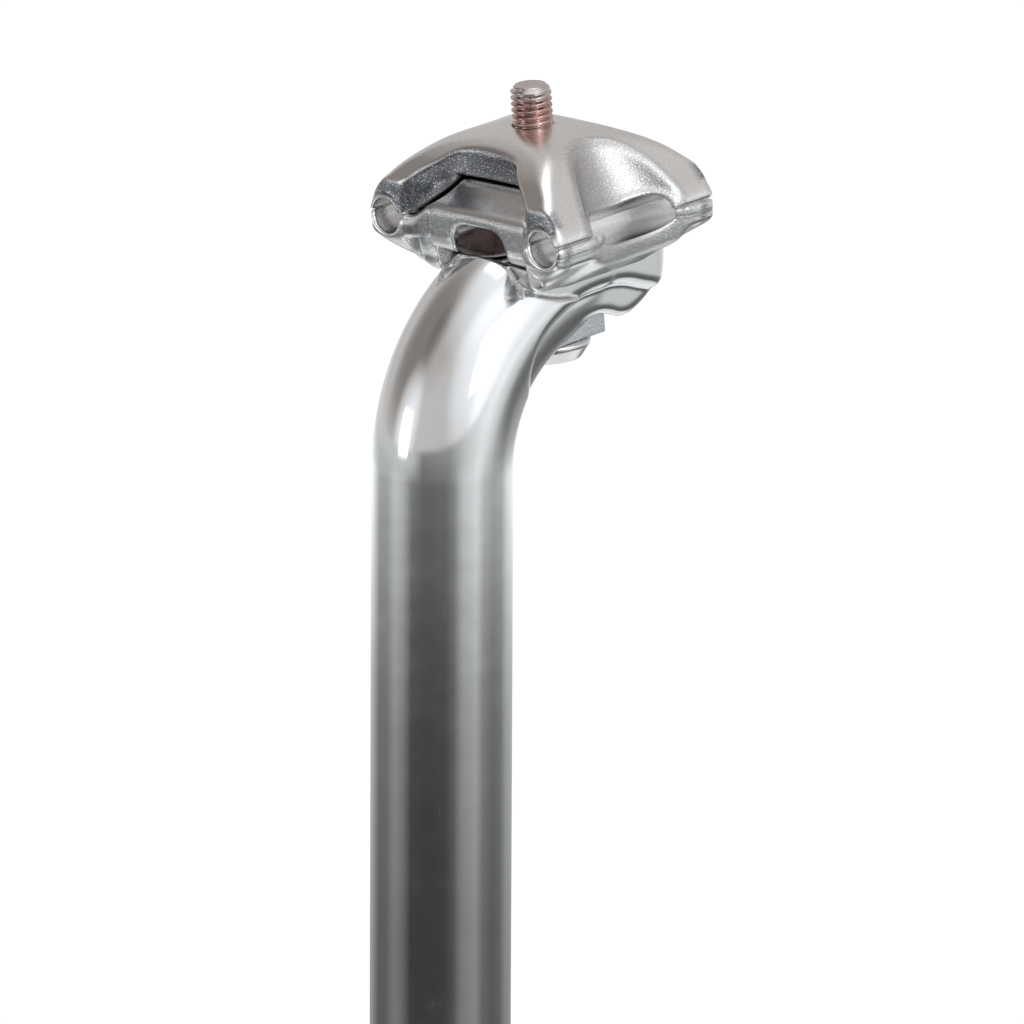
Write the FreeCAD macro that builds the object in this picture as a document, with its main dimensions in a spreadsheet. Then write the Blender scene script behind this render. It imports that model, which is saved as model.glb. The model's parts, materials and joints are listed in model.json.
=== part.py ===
"""Setback bicycle seatpost: one forged post with a cradle head, and a two-piece rail clamp on one bolt.

Millimetres. The origin is on the post's axis at its lower end, +Z runs up the post and -Y is the
front of the bicycle. The rail clamp is drawn in a frame of its own: its origin is where the bolt's
axis meets the plane of the saddle rails, its Y runs rearward along the rails and its Z up the bolt.
"""

import FreeCAD, Part

import math
import os

VALUES = {
    # Post tube and neck
    "post_diameter": 27.2,
    "post_bore": 22.4,
    "post_bore_depth": 238.0,
    "post_bore_cone": 6.0,
    "post_bore_tip": 7.5,
    "rail_plane_height": 300.0,
    "setback": 25.5,
    "bend_start_drop": 47.5,
    "bend_radius": 34.5,
    "bend_angle": 60.0,
    "neck_run": 11.0,
    # Cradle head of the post
    "head_width": 23.7,
    "head_rear_reach": 26.0,
    "head_top_drop": 5.3,
    "head_front_reach": 11.8,
    "head_front_slope": 2.9,
    "head_front_drop": 6.8,
    "head_corner": 6.8,
    "keel_width": 20.2,
    "pocket_width": 16.7,
    "pocket_front_reach": 15.0,
    "pocket_rear_reach": 16.9,
    "slot_width": 8.9,
    # Tilt of the clamp
    "clamp_angle": 6.0,
    "pivot_rise": 18.3,
    "cradle_radius": 29.1,
    "seat_radius": 38.5,
    "tilt_range": 7.0,
    "cradle_clearance": 0.08,
    "skirt_clearance": 0.2,
    # Rail clamp, both halves
    "rail_diameter": 7.0,
    "rail_spacing": 42.8,
    "clamp_front": 20.6,
    "clamp_rear": 22.0,
    "clamp_side_reach": 4.65,
    "parting_height": 0.7,
    "parting_gap": 0.5,
    "block_top": 6.8,
    "block_top_width": 19.4,
    "block_foot_width": 30.9,
    "block_gap": 1.0,
    "block_side_gap": 0.25,
    "side_scoop_half_length": 12.4,
    # Lower half
    "trough_wall": 2.0,
    "skirt_drop": 11.5,
    "skirt_width": 27.6,
    "skirt_round": 2.5,
    "window_width": 13.9,
    "window_top": -0.3,
    "window_corner": 3.9,
    "lower_middle_front": 17.0,
    "lower_scoop_crest": 10.7,
    "lower_scoop_run": 2.1,
    "lower_scoop_foot": 2.4,
    "setback_slope": 3.0,
    "flare_lead": 0.3,
    "flare_drop": 2.7,
    "lower_side_scoop": 2.25,
    "bolt_clearance": 0.35,
    # Upper half
    "dome_height": 17.5,
    "dome_allowance": 1.0,
    "side_edge_height": 4.5,
    "side_edge_round": 1.2,
    "side_face_height": 2.2,
    "arm_end_height": 7.1,
    "end_bevel_run": 0.9,
    "lip_wall": 1.2,
    "notch_lip_reach": 10.4,
    "notch_lip_half": 10.3,
    "notch_crest_reach": 12.8,
    "notch_crest_half": 4.1,
    "notch_leg_crest": 9.9,
    "notch_round": 0.9,
    "side_scoop_wall": 20.8,
    "side_scoop_radius": 14.6,
    "side_scoop_lean": 26.7,
    "side_scoop_taper": 18.9,
    # Bolt and curved washer
    "bolt_diameter": 8.0,
    "thread_fit": 0.02,
    "bolt_top": 24.9,
    "bolt_point_chamfer": 1.0,
    "bolt_head_diameter": 16.2,
    "bolt_head_base": 12.4,
    "bolt_head_height": 3.8,
    "bolt_head_rim": 1.1,
    "bolt_socket": 5.0,
    "bolt_socket_depth": 2.2,
    "washer_thickness": 6.0,
    "washer_length": 17.8,
    "washer_width": 14.2,
    "washer_corner": 0.8,
    "washer_bore": 8.6,
}

# Forged outlines of the head, seen from the side: rearward and upward from the rail centre
FLANK_FOOT = [(-8.2, -34.6), (-11.7, -31.1), (-12.6, -28.1), (-11.1, -23.5), (-7.9, -20.2), (-3.6, -17.8),
              (1.8, -16.3), (7.2, -15.6), (12.5, -15.7), (17.9, -17.1), (21.8, -17.7), (24.7, -16.1), (26.0, -13.0)]
KEEL_FOOT = [(-19.4, -29.6), (-13.0, -27.9), (-8.8, -27.2), (-6.1, -24.9), (-3.2, -22.7), (0.8, -21.6),
             (6.2, -21.1), (9.1, -21.4), (12.2, -22.3), (15.3, -22.1), (18.8, -20.4), (21.8, -18.1),
             (24.6, -15.3), (26.0, -12.2)]

# Roof of the upper half from its crown outward: share of the reach and share of the fall
SIDE_ROOF = [(0.21, 0.06), (0.40, 0.14), (0.59, 0.27), (0.80, 0.565), (0.94, 0.85), (1.0, 1.0)]
END_ROOF = [(0.26, 0.08), (0.49, 0.23), (0.78, 0.57), (0.94, 0.88), (1.0, 1.0)]

document = FreeCAD.newDocument("seatpost")
sheet = document.addObject("Spreadsheet::Sheet", "sizes")


def fill_sheet():
    """Write every driving size in the sheet under its own alias."""
    for row, (name, value) in enumerate(VALUES.items(), start=1):
        sheet.set("A%d" % row, name)
        sheet.set("B%d" % row, str(value))
        sheet.setAlias("B%d" % row, name)
    document.recompute()


fill_sheet()


def size(name):
    """The sheet's value of one size."""
    return float(sheet.get(name))


def vector(x, y, z):
    return FreeCAD.Vector(x, y, z)


X_AXIS = vector(1, 0, 0)
Y_AXIS = vector(0, 1, 0)
Z_AXIS = vector(0, 0, 1)
FAR = 60.0
LONG = "%g" % (2 * FAR)
WHOLE = "%g" % (8 * FAR)


def bind(thing, **expressions):
    """Tie properties of an object to the sheet."""
    for name, expression in expressions.items():
        thing.setExpression(name.replace("__", "."), expression)
    return thing


def keep(name, shape):
    """A helper solid or outline that no primitive makes."""
    feature = document.addObject("Part::Feature", name)
    feature.Shape = shape
    return feature


def boolean(kind, name, base, tool):
    feature = document.addObject("Part::" + kind, name)
    feature.Base = base
    feature.Tool = tool
    return feature


def cut(name, base, *tools):
    for number, tool in enumerate(tools):
        last = number == len(tools) - 1
        base = boolean("Cut", name if last else "%s_cut_%d" % (name, number), base, tool)
    return base


def common(name, base, tool):
    return boolean("Common", name, base, tool)


def fuse(name, base, tool):
    return boolean("Fuse", name, base, tool)


def curve_through(points):
    """Two points make a line, three make an arc and more make a smooth curve."""
    if len(points) == 2:
        return Part.makeLine(*points)
    if len(points) == 3:
        return Part.Arc(*points).toShape()
    curve = Part.BSplineCurve()
    curve.interpolate(points)
    return curve.toShape()


def closed_wire(path):
    return Part.Wire(Part.__sortEdges__([curve_through(points) for points in path]))


def prism(name, path, reach, direction):
    """A flat closed outline carried the same reach to both sides of its own plane."""
    face = Part.Face(closed_wire(path))
    face.translate(direction * -reach)
    return keep(name, face.extrude(direction * (2 * reach)))


def in_side_view(points):
    """Points given rearward and upward become points of the middle plane."""
    return [vector(0, along, up) for along, up in points]


def in_plan(points, height):
    return [vector(across, along, height) for across, along in points]


def in_front_view(points):
    return [vector(across, 0, up) for across, up in points]


def closed_by_lines(curve, *corners):
    """A curve closed through corner points with straight lines."""
    chain = [curve[-1], *corners, curve[0]]
    return [curve] + [[a, b] for a, b in zip(chain, chain[1:])]


def polygon(points):
    return [[a, b] for a, b in zip(points, points[1:] + points[:1])]


def cylinder(name, radius, height, base, direction):
    """A round bar whose radius and length follow the sheet."""
    solid = document.addObject("Part::Cylinder", name)
    bind(solid, Radius=radius, Height=height)
    solid.Placement = FreeCAD.Placement(base, FreeCAD.Rotation(Z_AXIS, direction))
    return solid


def box(name, width, length, height, front, low):
    """A box about the middle plane, from its front face and its underside."""
    solid = document.addObject("Part::Box", name)
    bind(solid, Length=width, Width=length, Height=height, Placement__Base__x="-(%s) / 2" % width)
    bind(solid, Placement__Base__y=front, Placement__Base__z=low)
    return solid


def cross_cylinder(name, radius, height, along=0.0):
    """A cylinder whose axis runs crosswise."""
    return cylinder(name, radius, LONG, vector(-FAR, along, height), X_AXIS)


def upright_hole(name, radius):
    """A cutter along the bolt's axis."""
    return cylinder(name, radius, LONG, vector(0, 0, -FAR), Z_AXIS)


# The clamp's own frame in the post's frame
def clamp_placement():
    centre = vector(0, size("setback"), size("rail_plane_height"))
    return FreeCAD.Placement(centre, FreeCAD.Rotation(X_AXIS, size("clamp_angle")))


def pivot_in_post():
    """The tilt axis, seen from the side, in the post's frame."""
    return clamp_placement().multVec(vector(0, 0, size("pivot_rise")))


def head_points(points):
    """Points given from the rail centre, rearward and upward, in the post's frame."""
    base_along = size("setback")
    base_up = size("rail_plane_height")
    return [(base_along + along, base_up + up) for along, up in points]


def make_bar():
    """Straight tube, one bend to the rear and a short run into the head."""
    start_up = size("rail_plane_height") - size("bend_start_drop")
    bend_radius = size("bend_radius")
    angle = math.radians(size("bend_angle"))
    radius = "sizes.post_diameter / 2"
    length = "sizes.rail_plane_height - sizes.bend_start_drop"
    shaft = cylinder("post_shaft", radius, length, vector(0, 0, 0), Z_AXIS)
    bend = document.addObject("Part::Torus", "post_bend")
    bind(bend, Radius1="sizes.bend_radius", Radius2=radius, Angle3="sizes.bend_angle")
    turn = FreeCAD.Rotation(vector(0, -1, 0), Z_AXIS, vector(-1, 0, 0), "XYZ")
    bend.Placement = FreeCAD.Placement(vector(0, bend_radius, start_up), turn)
    end = vector(0, bend_radius * (1 - math.cos(angle)), start_up + bend_radius * math.sin(angle))
    run = cylinder("post_run", radius, "sizes.neck_run", end, vector(0, math.sin(angle), math.cos(angle)))
    return fuse("post_bar", fuse("post_shaft_and_bend", shaft, bend), run)


def make_head_block():
    """The head above the keel's foot, with its rear corners rounded in plan."""
    rear = size("head_rear_reach")
    top = -size("head_top_drop")
    front = -size("head_front_reach")
    beyond = rear + size("head_corner")
    corners = head_points([(beyond, KEEL_FOOT[-1][1]), (beyond, top), (front + size("head_front_slope"), top),
                           (front, top - size("head_front_drop"))])
    path = closed_by_lines(in_side_view(head_points(KEEL_FOOT)), *in_side_view(corners))
    return common("head_block", prism("head_side", path, size("head_width") / 2, X_AXIS), make_head_plan())


def make_head_plan():
    """Plan outline of the head as a tall prism."""
    half = size("head_width") / 2
    corner = size("head_corner")
    rear = size("setback") + size("head_rear_reach")
    height = size("rail_plane_height")
    bend = corner * (1 - math.sqrt(0.5))
    right = [[(half, -FAR), (half, rear - corner)],
             [(half, rear - corner), (half - bend, rear - bend), (half - corner, rear)]]
    left = [[(-x, y) for x, y in points] for points in right]
    across = [[(-half, -FAR), (half, -FAR)], [(half - corner, rear), (corner - half, rear)]]
    path = [in_plan(points, height) for points in right + left + across]
    return prism("head_plan", path, FAR, Z_AXIS)


def make_flank_recess():
    """Beside the keel, everything below the flank's foot is cut away."""
    foot = head_points(FLANK_FOOT)
    low = foot[0][1]
    corners = [(2 * FAR, foot[-1][1]), (2 * FAR, low - FAR), (foot[0][0], low - FAR)]
    path = closed_by_lines(in_side_view(foot), *in_side_view(corners))
    region = prism("recess_region", path, FAR, X_AXIS)
    core = box("recess_core", "sizes.keel_width", WHOLE, WHOLE, "-%g" % FAR, "-%g" % FAR)
    return cut("flank_recess", region, core)


def make_cradle_cutter():
    """The hollow in which the clamp's shoe swings about the tilt axis."""
    pivot = pivot_in_post()
    return cross_cylinder("cradle_cutter", "sizes.cradle_radius", pivot.z, pivot.y)


def skirt_swing():
    """Reach of the skirts' rounded front corner from the tilt axis, with room to pass."""
    corner = size("skirt_round")
    drop = size("pivot_rise") + size("skirt_drop") - corner
    return math.hypot(drop, size("lower_middle_front") - corner) + corner + size("skirt_clearance")


def make_side_relief(side):
    """Flat milled beside the cradle so that the skirts pass the neck."""
    pivot = pivot_in_post()
    start = vector(side * size("head_width") / 2, pivot.y, pivot.z)
    name = "side_relief_%s" % ("right" if side > 0 else "left")
    return cylinder(name, "%g" % skirt_swing(), "%g" % FAR, start, X_AXIS * side)


def make_pocket():
    """The hollow under the head in which the curved washer and the bolt's head swing."""
    length = "sizes.pocket_front_reach + sizes.pocket_rear_reach"
    block = box("pocket_block", "sizes.pocket_width", length, "%g" % FAR, "-sizes.pocket_front_reach",
                "-%g" % FAR)
    seat = cross_cylinder("pocket_seat", "sizes.seat_radius", size("pivot_rise"))
    pocket = cut("washer_pocket", block, seat)
    pocket.Placement = clamp_placement()
    return pocket


def slot_half_length():
    swing = size("seat_radius") * math.sin(math.radians(size("tilt_range")))
    return swing + size("bolt_diameter") / 2 + 2 * size("bolt_clearance")


def make_slot():
    """The long hole that lets the bolt swing with the clamp."""
    half = slot_half_length()
    width = size("slot_width")
    straight = half - width / 2
    sides = [[(side * width / 2, -straight), (side * width / 2, straight)] for side in (-1, 1)]
    ends = [[(-width / 2, end * straight), (0, end * half), (width / 2, end * straight)] for end in (-1, 1)]
    slot = prism("bolt_slot", [in_plan(points, -FAR / 2) for points in sides + ends], FAR / 2, Z_AXIS)
    slot.Placement = clamp_placement()
    return slot


def make_bore():
    """The tube's bore, closed by a shallow cone below the bend."""
    bore = cylinder("post_bore", "sizes.post_bore / 2", "sizes.post_bore_depth", vector(0, 0, 0), Z_AXIS)
    cone = document.addObject("Part::Cone", "post_bore_end")
    bind(cone, Radius1="sizes.post_bore / 2", Radius2="sizes.post_bore_tip / 2", Height="sizes.post_bore_cone")
    bind(cone, Placement__Base__z="sizes.post_bore_depth")
    return fuse("post_bore_cutter", bore, cone)


def make_post():
    """Tube, bent neck and cradle head in one piece."""
    bar = cut("post_bar_relieved", make_bar(), make_side_relief(1), make_side_relief(-1))
    solid = fuse("post_outer", bar, make_head_block())
    post = cut("post_body", solid, make_flank_recess(), make_cradle_cutter(), make_pocket(), make_slot(),
               make_bore())
    post.Label = "post"
    return post


# Rail clamp, in its own frame
def half_width():
    """Reach of the clamp's sides, beside the rails."""
    return size("rail_spacing") / 2 + size("clamp_side_reach")


def end_reach(end):
    """Reach of the clamp from the bolt's axis to its front or its rear face."""
    return size("clamp_front") if end < 0 else size("clamp_rear")


def set_back(end, front_reach):
    """The same distance behind the clamp's face at the front and at the rear."""
    return front_reach + end_reach(end) - size("clamp_front")


def rail_cutter(name):
    """Both rail channels."""
    half = size("rail_spacing") / 2
    right, left = [cylinder("%s_%s" % (name, side), "sizes.rail_diameter / 2", LONG, vector(across, -FAR, 0), Y_AXIS)
                   for side, across in (("right", half), ("left", -half))]
    return fuse(name, right, left)


def mirrored(points):
    return [(-across, up) for across, up in reversed(points)]


def lower_section():
    """Front view of the lower half: raised block, lips, troughs, flared underside and skirts."""
    half = half_width()
    rail = size("rail_spacing") / 2
    outer = size("rail_diameter") / 2 + size("trough_wall")
    lip = size("parting_height") - size("parting_gap") / 2
    skirt = (size("skirt_width") / 2, -size("skirt_drop"))
    # The flare leaves the trough's round bottom as a tangent from the skirt's corner
    across = rail - skirt[0]
    reach = math.hypot(across, skirt[1])
    turn = math.atan2(-skirt[1], across) - math.asin(outer / reach)
    length = math.sqrt(reach ** 2 - outer ** 2)
    tangent = (skirt[0] + length * math.cos(turn), skirt[1] + length * math.sin(turn))
    wall = half - rail
    corner = (half, -math.sqrt(outer ** 2 - wall ** 2))
    middle = (math.atan2(tangent[1], tangent[0] - rail) + math.atan2(corner[1], wall)) / 2
    on_round = (rail + outer * math.cos(middle), outer * math.sin(middle))
    top = (size("block_top_width") / 2, size("block_top"))
    right = [[top, (size("block_foot_width") / 2, lip)], [(size("block_foot_width") / 2, lip), (half, lip)],
             [(half, lip), corner], [corner, on_round, tangent], [tangent, skirt]]
    left = [mirrored(points) for points in right]
    joins = [[skirt, (-skirt[0], skirt[1])], [(-top[0], top[1]), top]]
    return [in_front_view(points) for points in right + left + joins]


def clamp_blank(name, path):
    """A front view outline carried from the clamp's front face to its rear face."""
    face = Part.Face(closed_wire(path))
    face.translate(Y_AXIS * -size("clamp_front"))
    return keep(name, face.extrude(Y_AXIS * (size("clamp_front") + size("clamp_rear"))))


def make_shoe_cutter():
    """What the shoe may not reach: outside the cradle's radius, between the skirts."""
    width = "sizes.head_width + 2 * sizes.skirt_clearance"
    height = "%g + sizes.pivot_rise" % FAR
    block = box("shoe_block", width, LONG, height, "-%g" % FAR, "-%g" % FAR)
    radius = "sizes.cradle_radius - sizes.cradle_clearance"
    return cut("shoe_cutter", block, cross_cylinder("shoe_round", radius, size("pivot_rise")))


def make_flare_cutter(name, end):
    """Under the troughs the flared underside stands back from the clamp's ends."""
    face = end_reach(end)
    middle = set_back(end, size("lower_middle_front"))
    under = -size("rail_diameter") / 2 - size("trough_wall")
    corner = size("skirt_round")
    foot = -size("skirt_drop")
    bend = corner * (1 - math.sqrt(0.5))
    rounded = [(middle, foot + corner), (middle - bend, foot + bend), (middle - corner, foot)]
    chain = [rounded[-1], (middle - corner, -FAR), (FAR, -FAR), (FAR, under + size("flare_lead")),
             (face + size("flare_lead"), under + size("flare_lead")), (face - size("flare_lead"), under),
             (middle, under - size("flare_drop")), rounded[0]]
    path = [rounded] + [[a, b] for a, b in zip(chain, chain[1:])]
    path = [in_side_view([(end * along, up) for along, up in points]) for points in path]
    return prism(name, path, FAR, X_AXIS)


def make_window():
    """The arched opening between the two feet, from front to rear."""
    half = size("window_width") / 2
    top = size("window_top")
    corner = size("window_corner")
    bend = corner * (1 - math.sqrt(0.5))
    right = [[(half, -FAR), (half, top - corner)],
             [(half, top - corner), (half - bend, top - bend), (half - corner, top)]]
    left = [mirrored(points) for points in right]
    joins = [[(-half, -FAR), (half, -FAR)], [(half - corner, top), (corner - half, top)]]
    return prism("feet_window", [in_front_view(points) for points in right + left + joins], FAR, Y_AXIS)


def make_end_scoop(name, end):
    """The slope that sets the lower half's block back behind its feet, at the front or the rear."""
    lip = size("parting_height") - size("parting_gap") / 2
    crest = set_back(end, size("lower_scoop_crest"))
    curve = [(end_reach(end), lip), (set_back(end, size("lower_middle_front")), size("lower_scoop_foot")),
             (crest + size("lower_scoop_run"), size("block_top") - size("lower_scoop_foot")),
             (crest, size("block_top"))]
    curve = [(end * along, up) for along, up in curve]
    corners = [(end * crest, FAR), (end * FAR, FAR), (end * FAR, lip)]
    path = closed_by_lines(in_side_view(curve), *in_side_view(corners))
    return prism(name, path, size("block_foot_width") / 2 + size("block_side_gap"), X_AXIS)


def make_middle_setback(name, end):
    """Between the troughs, the feet and the arch stand back from the clamp's ends."""
    face = end_reach(end)
    middle = set_back(end, size("lower_middle_front"))
    wide = size("block_foot_width") / 2 + 2 * size("block_side_gap")
    narrow = wide - size("setback_slope")
    points = [(-wide, FAR), (-wide, face), (-narrow, middle), (narrow, middle), (wide, face), (wide, FAR)]
    points = [(across, end * along) for across, along in points]
    return prism(name, [in_plan(pair, 0.0) for pair in polygon(points)], FAR, Z_AXIS)


def make_lower_side_scoop(side):
    """A round bay in from the middle of the clamp's side, open outward."""
    edge = side * half_width()
    length = size("side_scoop_half_length")
    bay = [(edge, -length), (edge - side * size("lower_side_scoop"), 0.0), (edge, length)]
    corners = [(side * FAR, length), (side * FAR, -length)]
    path = closed_by_lines(in_plan(bay, 0.0), *in_plan(corners, 0.0))
    return prism("lower_side_scoop_%s" % ("right" if side > 0 else "left"), path, FAR, Z_AXIS)


def make_lower_clamp():
    """Lower half of the rail clamp."""
    blank = clamp_blank("lower_blank", lower_section())
    hole = upright_hole("lower_bolt_hole", "sizes.bolt_diameter / 2 + sizes.bolt_clearance")
    clamp = cut("lower_clamp", blank, make_shoe_cutter(), make_window(), make_end_scoop("front_slope", -1),
                make_end_scoop("rear_slope", 1), make_middle_setback("front_setback", -1),
                make_middle_setback("rear_setback", 1), make_flare_cutter("front_flare_end", -1),
                make_flare_cutter("rear_flare_end", 1), rail_cutter("lower_channels"),
                make_lower_side_scoop(1), make_lower_side_scoop(-1), hole)
    clamp.Label = "lower_rail_clamp"
    clamp.Placement = clamp_placement()
    return clamp


def upper_section():
    """Front view of the upper half: its underside rides over the lower half's block."""
    half = half_width()
    lip = size("parting_height") + size("parting_gap") / 2
    top = size("dome_height") + size("dome_allowance")
    flat = size("block_top_width") / 2 + size("block_side_gap")
    foot = size("block_foot_width") / 2 + size("block_side_gap")
    right = [(flat, size("block_top") + size("block_gap")), (foot, lip), (half, lip), (half, top)]
    return [in_front_view(pair) for pair in polygon(right + mirrored(right))]


def roof_slope(shares, reach, end_height):
    """Points of the roof from just beside its crown down to its lower end."""
    crown = size("dome_height")
    return [(out * reach, crown - down * (crown - end_height)) for out, down in shares]


def roof_outline(front, rear, front_foot, rear_foot):
    """A roof curve over both slopes, an edge below each of its ends, and a closing far below."""
    curve = mirrored(front) + [(0, size("dome_height"))] + rear
    corners = [rear_foot, (rear_foot[0], -FAR), (-front_foot[0], -FAR), (-front_foot[0], front_foot[1])]
    return closed_by_lines(curve, *corners)


def make_side_roof():
    """Roof of the upper half seen from the front: a low crown that falls steeply to the sides."""
    half = half_width()
    slope = roof_slope(SIDE_ROOF, half - size("side_edge_round"), size("side_edge_height"))
    foot = (half, size("side_face_height"))
    path = roof_outline(slope, slope, foot, foot)
    return prism("side_roof", [in_front_view(points) for points in path], FAR, Y_AXIS)


def make_end_roof():
    """Roof of the upper half seen from the side, with a bevel down to each end's lip."""
    bevel = size("end_bevel_run")
    lip = size("rail_diameter") / 2 + size("lip_wall")
    front = roof_slope(END_ROOF, size("clamp_front") - bevel, size("arm_end_height"))
    rear = roof_slope(END_ROOF, size("clamp_rear") - bevel, size("arm_end_height"))
    path = roof_outline(front, rear, (size("clamp_front"), lip), (size("clamp_rear"), lip))
    return prism("end_roof", [in_side_view(points) for points in path], FAR, X_AXIS)


def notch_outline(end, height, leg, corner, reach):
    """Plan of the notch between two arms at one height, open to the front or the rear."""
    face = end_reach(end)
    deep = set_back(end, reach)
    half = [(leg, face), ((leg + corner) / 2, (face + deep) / 2), (corner, deep + size("notch_round"))]
    bay = [(-x, y) for x, y in half] + [(0, deep)] + half[::-1]
    bay = [(x, end * y) for x, y in bay]
    corners = [(leg, end * FAR), (-leg, end * FAR)]
    return closed_wire(closed_by_lines(in_plan(bay, height), *in_plan(corners, height)))


def make_notch(name, end):
    """The scoop between two arms: it leans outward as it rises, so that it leaves a thin lip."""
    leg = (size("rail_spacing") - size("rail_diameter")) / 2 - size("lip_wall")
    lip = notch_outline(end, size("block_top"), leg, size("notch_lip_half"), size("notch_lip_reach"))
    foot = notch_outline(end, -size("block_top"), leg, size("notch_lip_half"), size("notch_lip_reach"))
    crest = notch_outline(end, size("dome_height"), size("notch_leg_crest"), size("notch_crest_half"),
                          size("notch_crest_reach"))
    return keep(name, Part.makeLoft([foot, lip, crest], True, True))


def make_upper_side_scoop(side):
    """The hollow between the arms of one side: a cone that leans inward and narrows as it rises.

    Its radius is named at the rails' plane. It runs from twice that, below the clamp, to a quarter of it, above.
    """
    taper = math.radians(size("side_scoop_taper"))
    lean = math.radians(size("side_scoop_lean")) + taper
    radius = size("side_scoop_radius")
    cone = document.addObject("Part::Cone", "upper_side_scoop_%s" % ("right" if side > 0 else "left"))
    bind(cone, Radius1="sizes.side_scoop_radius * 2", Radius2="sizes.side_scoop_radius / 4")
    bind(cone, Height="sizes.side_scoop_radius * 7 / 4 / tan(sizes.side_scoop_taper)")
    below = radius / math.tan(taper)
    across = size("side_scoop_wall") + radius * math.cos(lean) + below * math.sin(lean)
    up = radius * math.sin(lean) - below * math.cos(lean)
    direction = vector(-side * math.sin(lean), 0, math.cos(lean))
    cone.Placement = FreeCAD.Placement(vector(side * across, 0, up), FreeCAD.Rotation(Z_AXIS, direction))
    return cone


def make_upper_clamp():
    """Upper half of the rail clamp: four arms round a tapped crown."""
    blank = clamp_blank("upper_blank", upper_section())
    roofed = common("upper_roofed", common("upper_side_roofed", blank, make_side_roof()), make_end_roof())
    hole = upright_hole("upper_bolt_hole", "sizes.bolt_diameter / 2 + sizes.thread_fit")
    clamp = cut("upper_clamp", roofed, rail_cutter("upper_channels"), make_notch("front_notch", -1),
                make_notch("rear_notch", 1), make_upper_side_scoop(1), make_upper_side_scoop(-1), hole)
    clamp.Label = "upper_rail_clamp"
    clamp.Placement = clamp_placement()
    return clamp


def washer_plane():
    """Depth of the washer's flat underside below the rails."""
    return size("seat_radius") + size("washer_thickness") - size("pivot_rise")


def make_washer():
    """Washer with a flat underside and a hollow top that slides on the head's curved seat."""
    half_width = size("washer_width") / 2
    half_length = size("washer_length") / 2
    chamfer = size("washer_corner")
    right = [(half_width - chamfer, -half_length), (half_width, chamfer - half_length),
             (half_width, half_length - chamfer), (half_width - chamfer, half_length)]
    path = [in_plan(pair, 0.0) for pair in polygon(right + mirrored(right))]
    face = Part.Face(closed_wire(path))
    face.translate(Z_AXIS * -washer_plane())
    blank = keep("washer_blank", face.extrude(Z_AXIS * washer_plane()))
    seat = cross_cylinder("washer_seat", "sizes.seat_radius + sizes.cradle_clearance", size("pivot_rise"))
    washer = cut("washer_body", blank, seat, upright_hole("washer_hole", "sizes.washer_bore / 2"))
    washer.Label = "curved_washer"
    washer.Placement = clamp_placement()
    return washer


def make_bolt():
    """Bolt turned in one profile, with a low head and a hexagon socket."""
    radius = size("bolt_diameter") / 2
    head = size("bolt_head_diameter") / 2
    base = size("bolt_head_base") / 2
    under = -washer_plane()
    foot = under - size("bolt_head_height")
    top = size("bolt_top")
    point = size("bolt_point_chamfer")
    points = [(0, foot), (base, foot), (head, under - size("bolt_head_rim")), (head, under), (radius, under),
              (radius, top - point), (radius - point, top), (0, top)]
    face = Part.Face(Part.makePolygon(in_front_view(points + points[:1])))
    turned = keep("bolt_turned", face.revolve(vector(0, 0, 0), Z_AXIS, 360))
    socket = document.addObject("Part::Prism", "bolt_socket_cutter")
    socket.Polygon = 6
    bind(socket, Circumradius="sizes.bolt_socket / sqrt(3)", Height="sizes.bolt_socket_depth")
    socket.Placement.Base = vector(0, 0, foot)
    bolt = cut("bolt_body", turned, socket)
    bolt.Label = "clamp_bolt"
    bolt.Placement = clamp_placement()
    return bolt


def check_document():
    """Every object is up to date and without errors."""
    for thing in document.Objects:
        if "Invalid" in thing.State or "Error" in thing.State:
            raise RuntimeError("%s failed: %s" % (thing.Name, thing.State))


def write(pieces):
    """Check each piece and write its file."""
    os.makedirs("parts", exist_ok=True)
    for piece in pieces:
        shape = piece.Shape
        if shape.isNull() or not shape.isValid() or len(shape.Solids) != 1:
            raise RuntimeError("%s: %d solids" % (piece.Label, len(shape.Solids)))
        shape.exportStep("parts/%s.step" % piece.Label)
        print("%s volume %.1f" % (piece.Label, shape.Volume))


pieces = [make_post(), make_lower_clamp(), make_upper_clamp(), make_bolt(), make_washer()]
document.recompute()
check_document()
write(pieces)
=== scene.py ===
"""Looks of the seatpost: forged and polished solids with rounded edges, a threaded bolt, and a white studio.

The CAD frame gives places and sizes. Each piece here is worked out in millimetres as a field of signed
distances, negative inside, and turned into a smooth mesh, so that edges are rounded as on a forging.
"""

import json
import math

import bpy
import numpy as np
from mathutils import Matrix, Vector


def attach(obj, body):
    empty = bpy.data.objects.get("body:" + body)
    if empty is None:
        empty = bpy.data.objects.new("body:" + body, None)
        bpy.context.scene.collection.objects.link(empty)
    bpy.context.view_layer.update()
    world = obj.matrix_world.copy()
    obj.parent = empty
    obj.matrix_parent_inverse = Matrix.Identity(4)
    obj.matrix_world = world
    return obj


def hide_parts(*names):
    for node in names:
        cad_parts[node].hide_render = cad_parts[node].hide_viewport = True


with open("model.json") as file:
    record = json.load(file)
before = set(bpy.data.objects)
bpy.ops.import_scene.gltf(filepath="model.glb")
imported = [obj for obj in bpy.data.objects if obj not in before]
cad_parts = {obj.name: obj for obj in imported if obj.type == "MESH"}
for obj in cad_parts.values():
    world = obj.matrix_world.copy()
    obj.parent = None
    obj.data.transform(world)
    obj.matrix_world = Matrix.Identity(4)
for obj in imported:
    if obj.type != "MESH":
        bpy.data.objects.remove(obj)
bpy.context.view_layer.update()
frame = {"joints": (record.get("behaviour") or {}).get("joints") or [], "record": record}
mounts = {mount["name"]: mount for mount in frame["record"]["mounts"]}
joint = frame["joints"][0]

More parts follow.
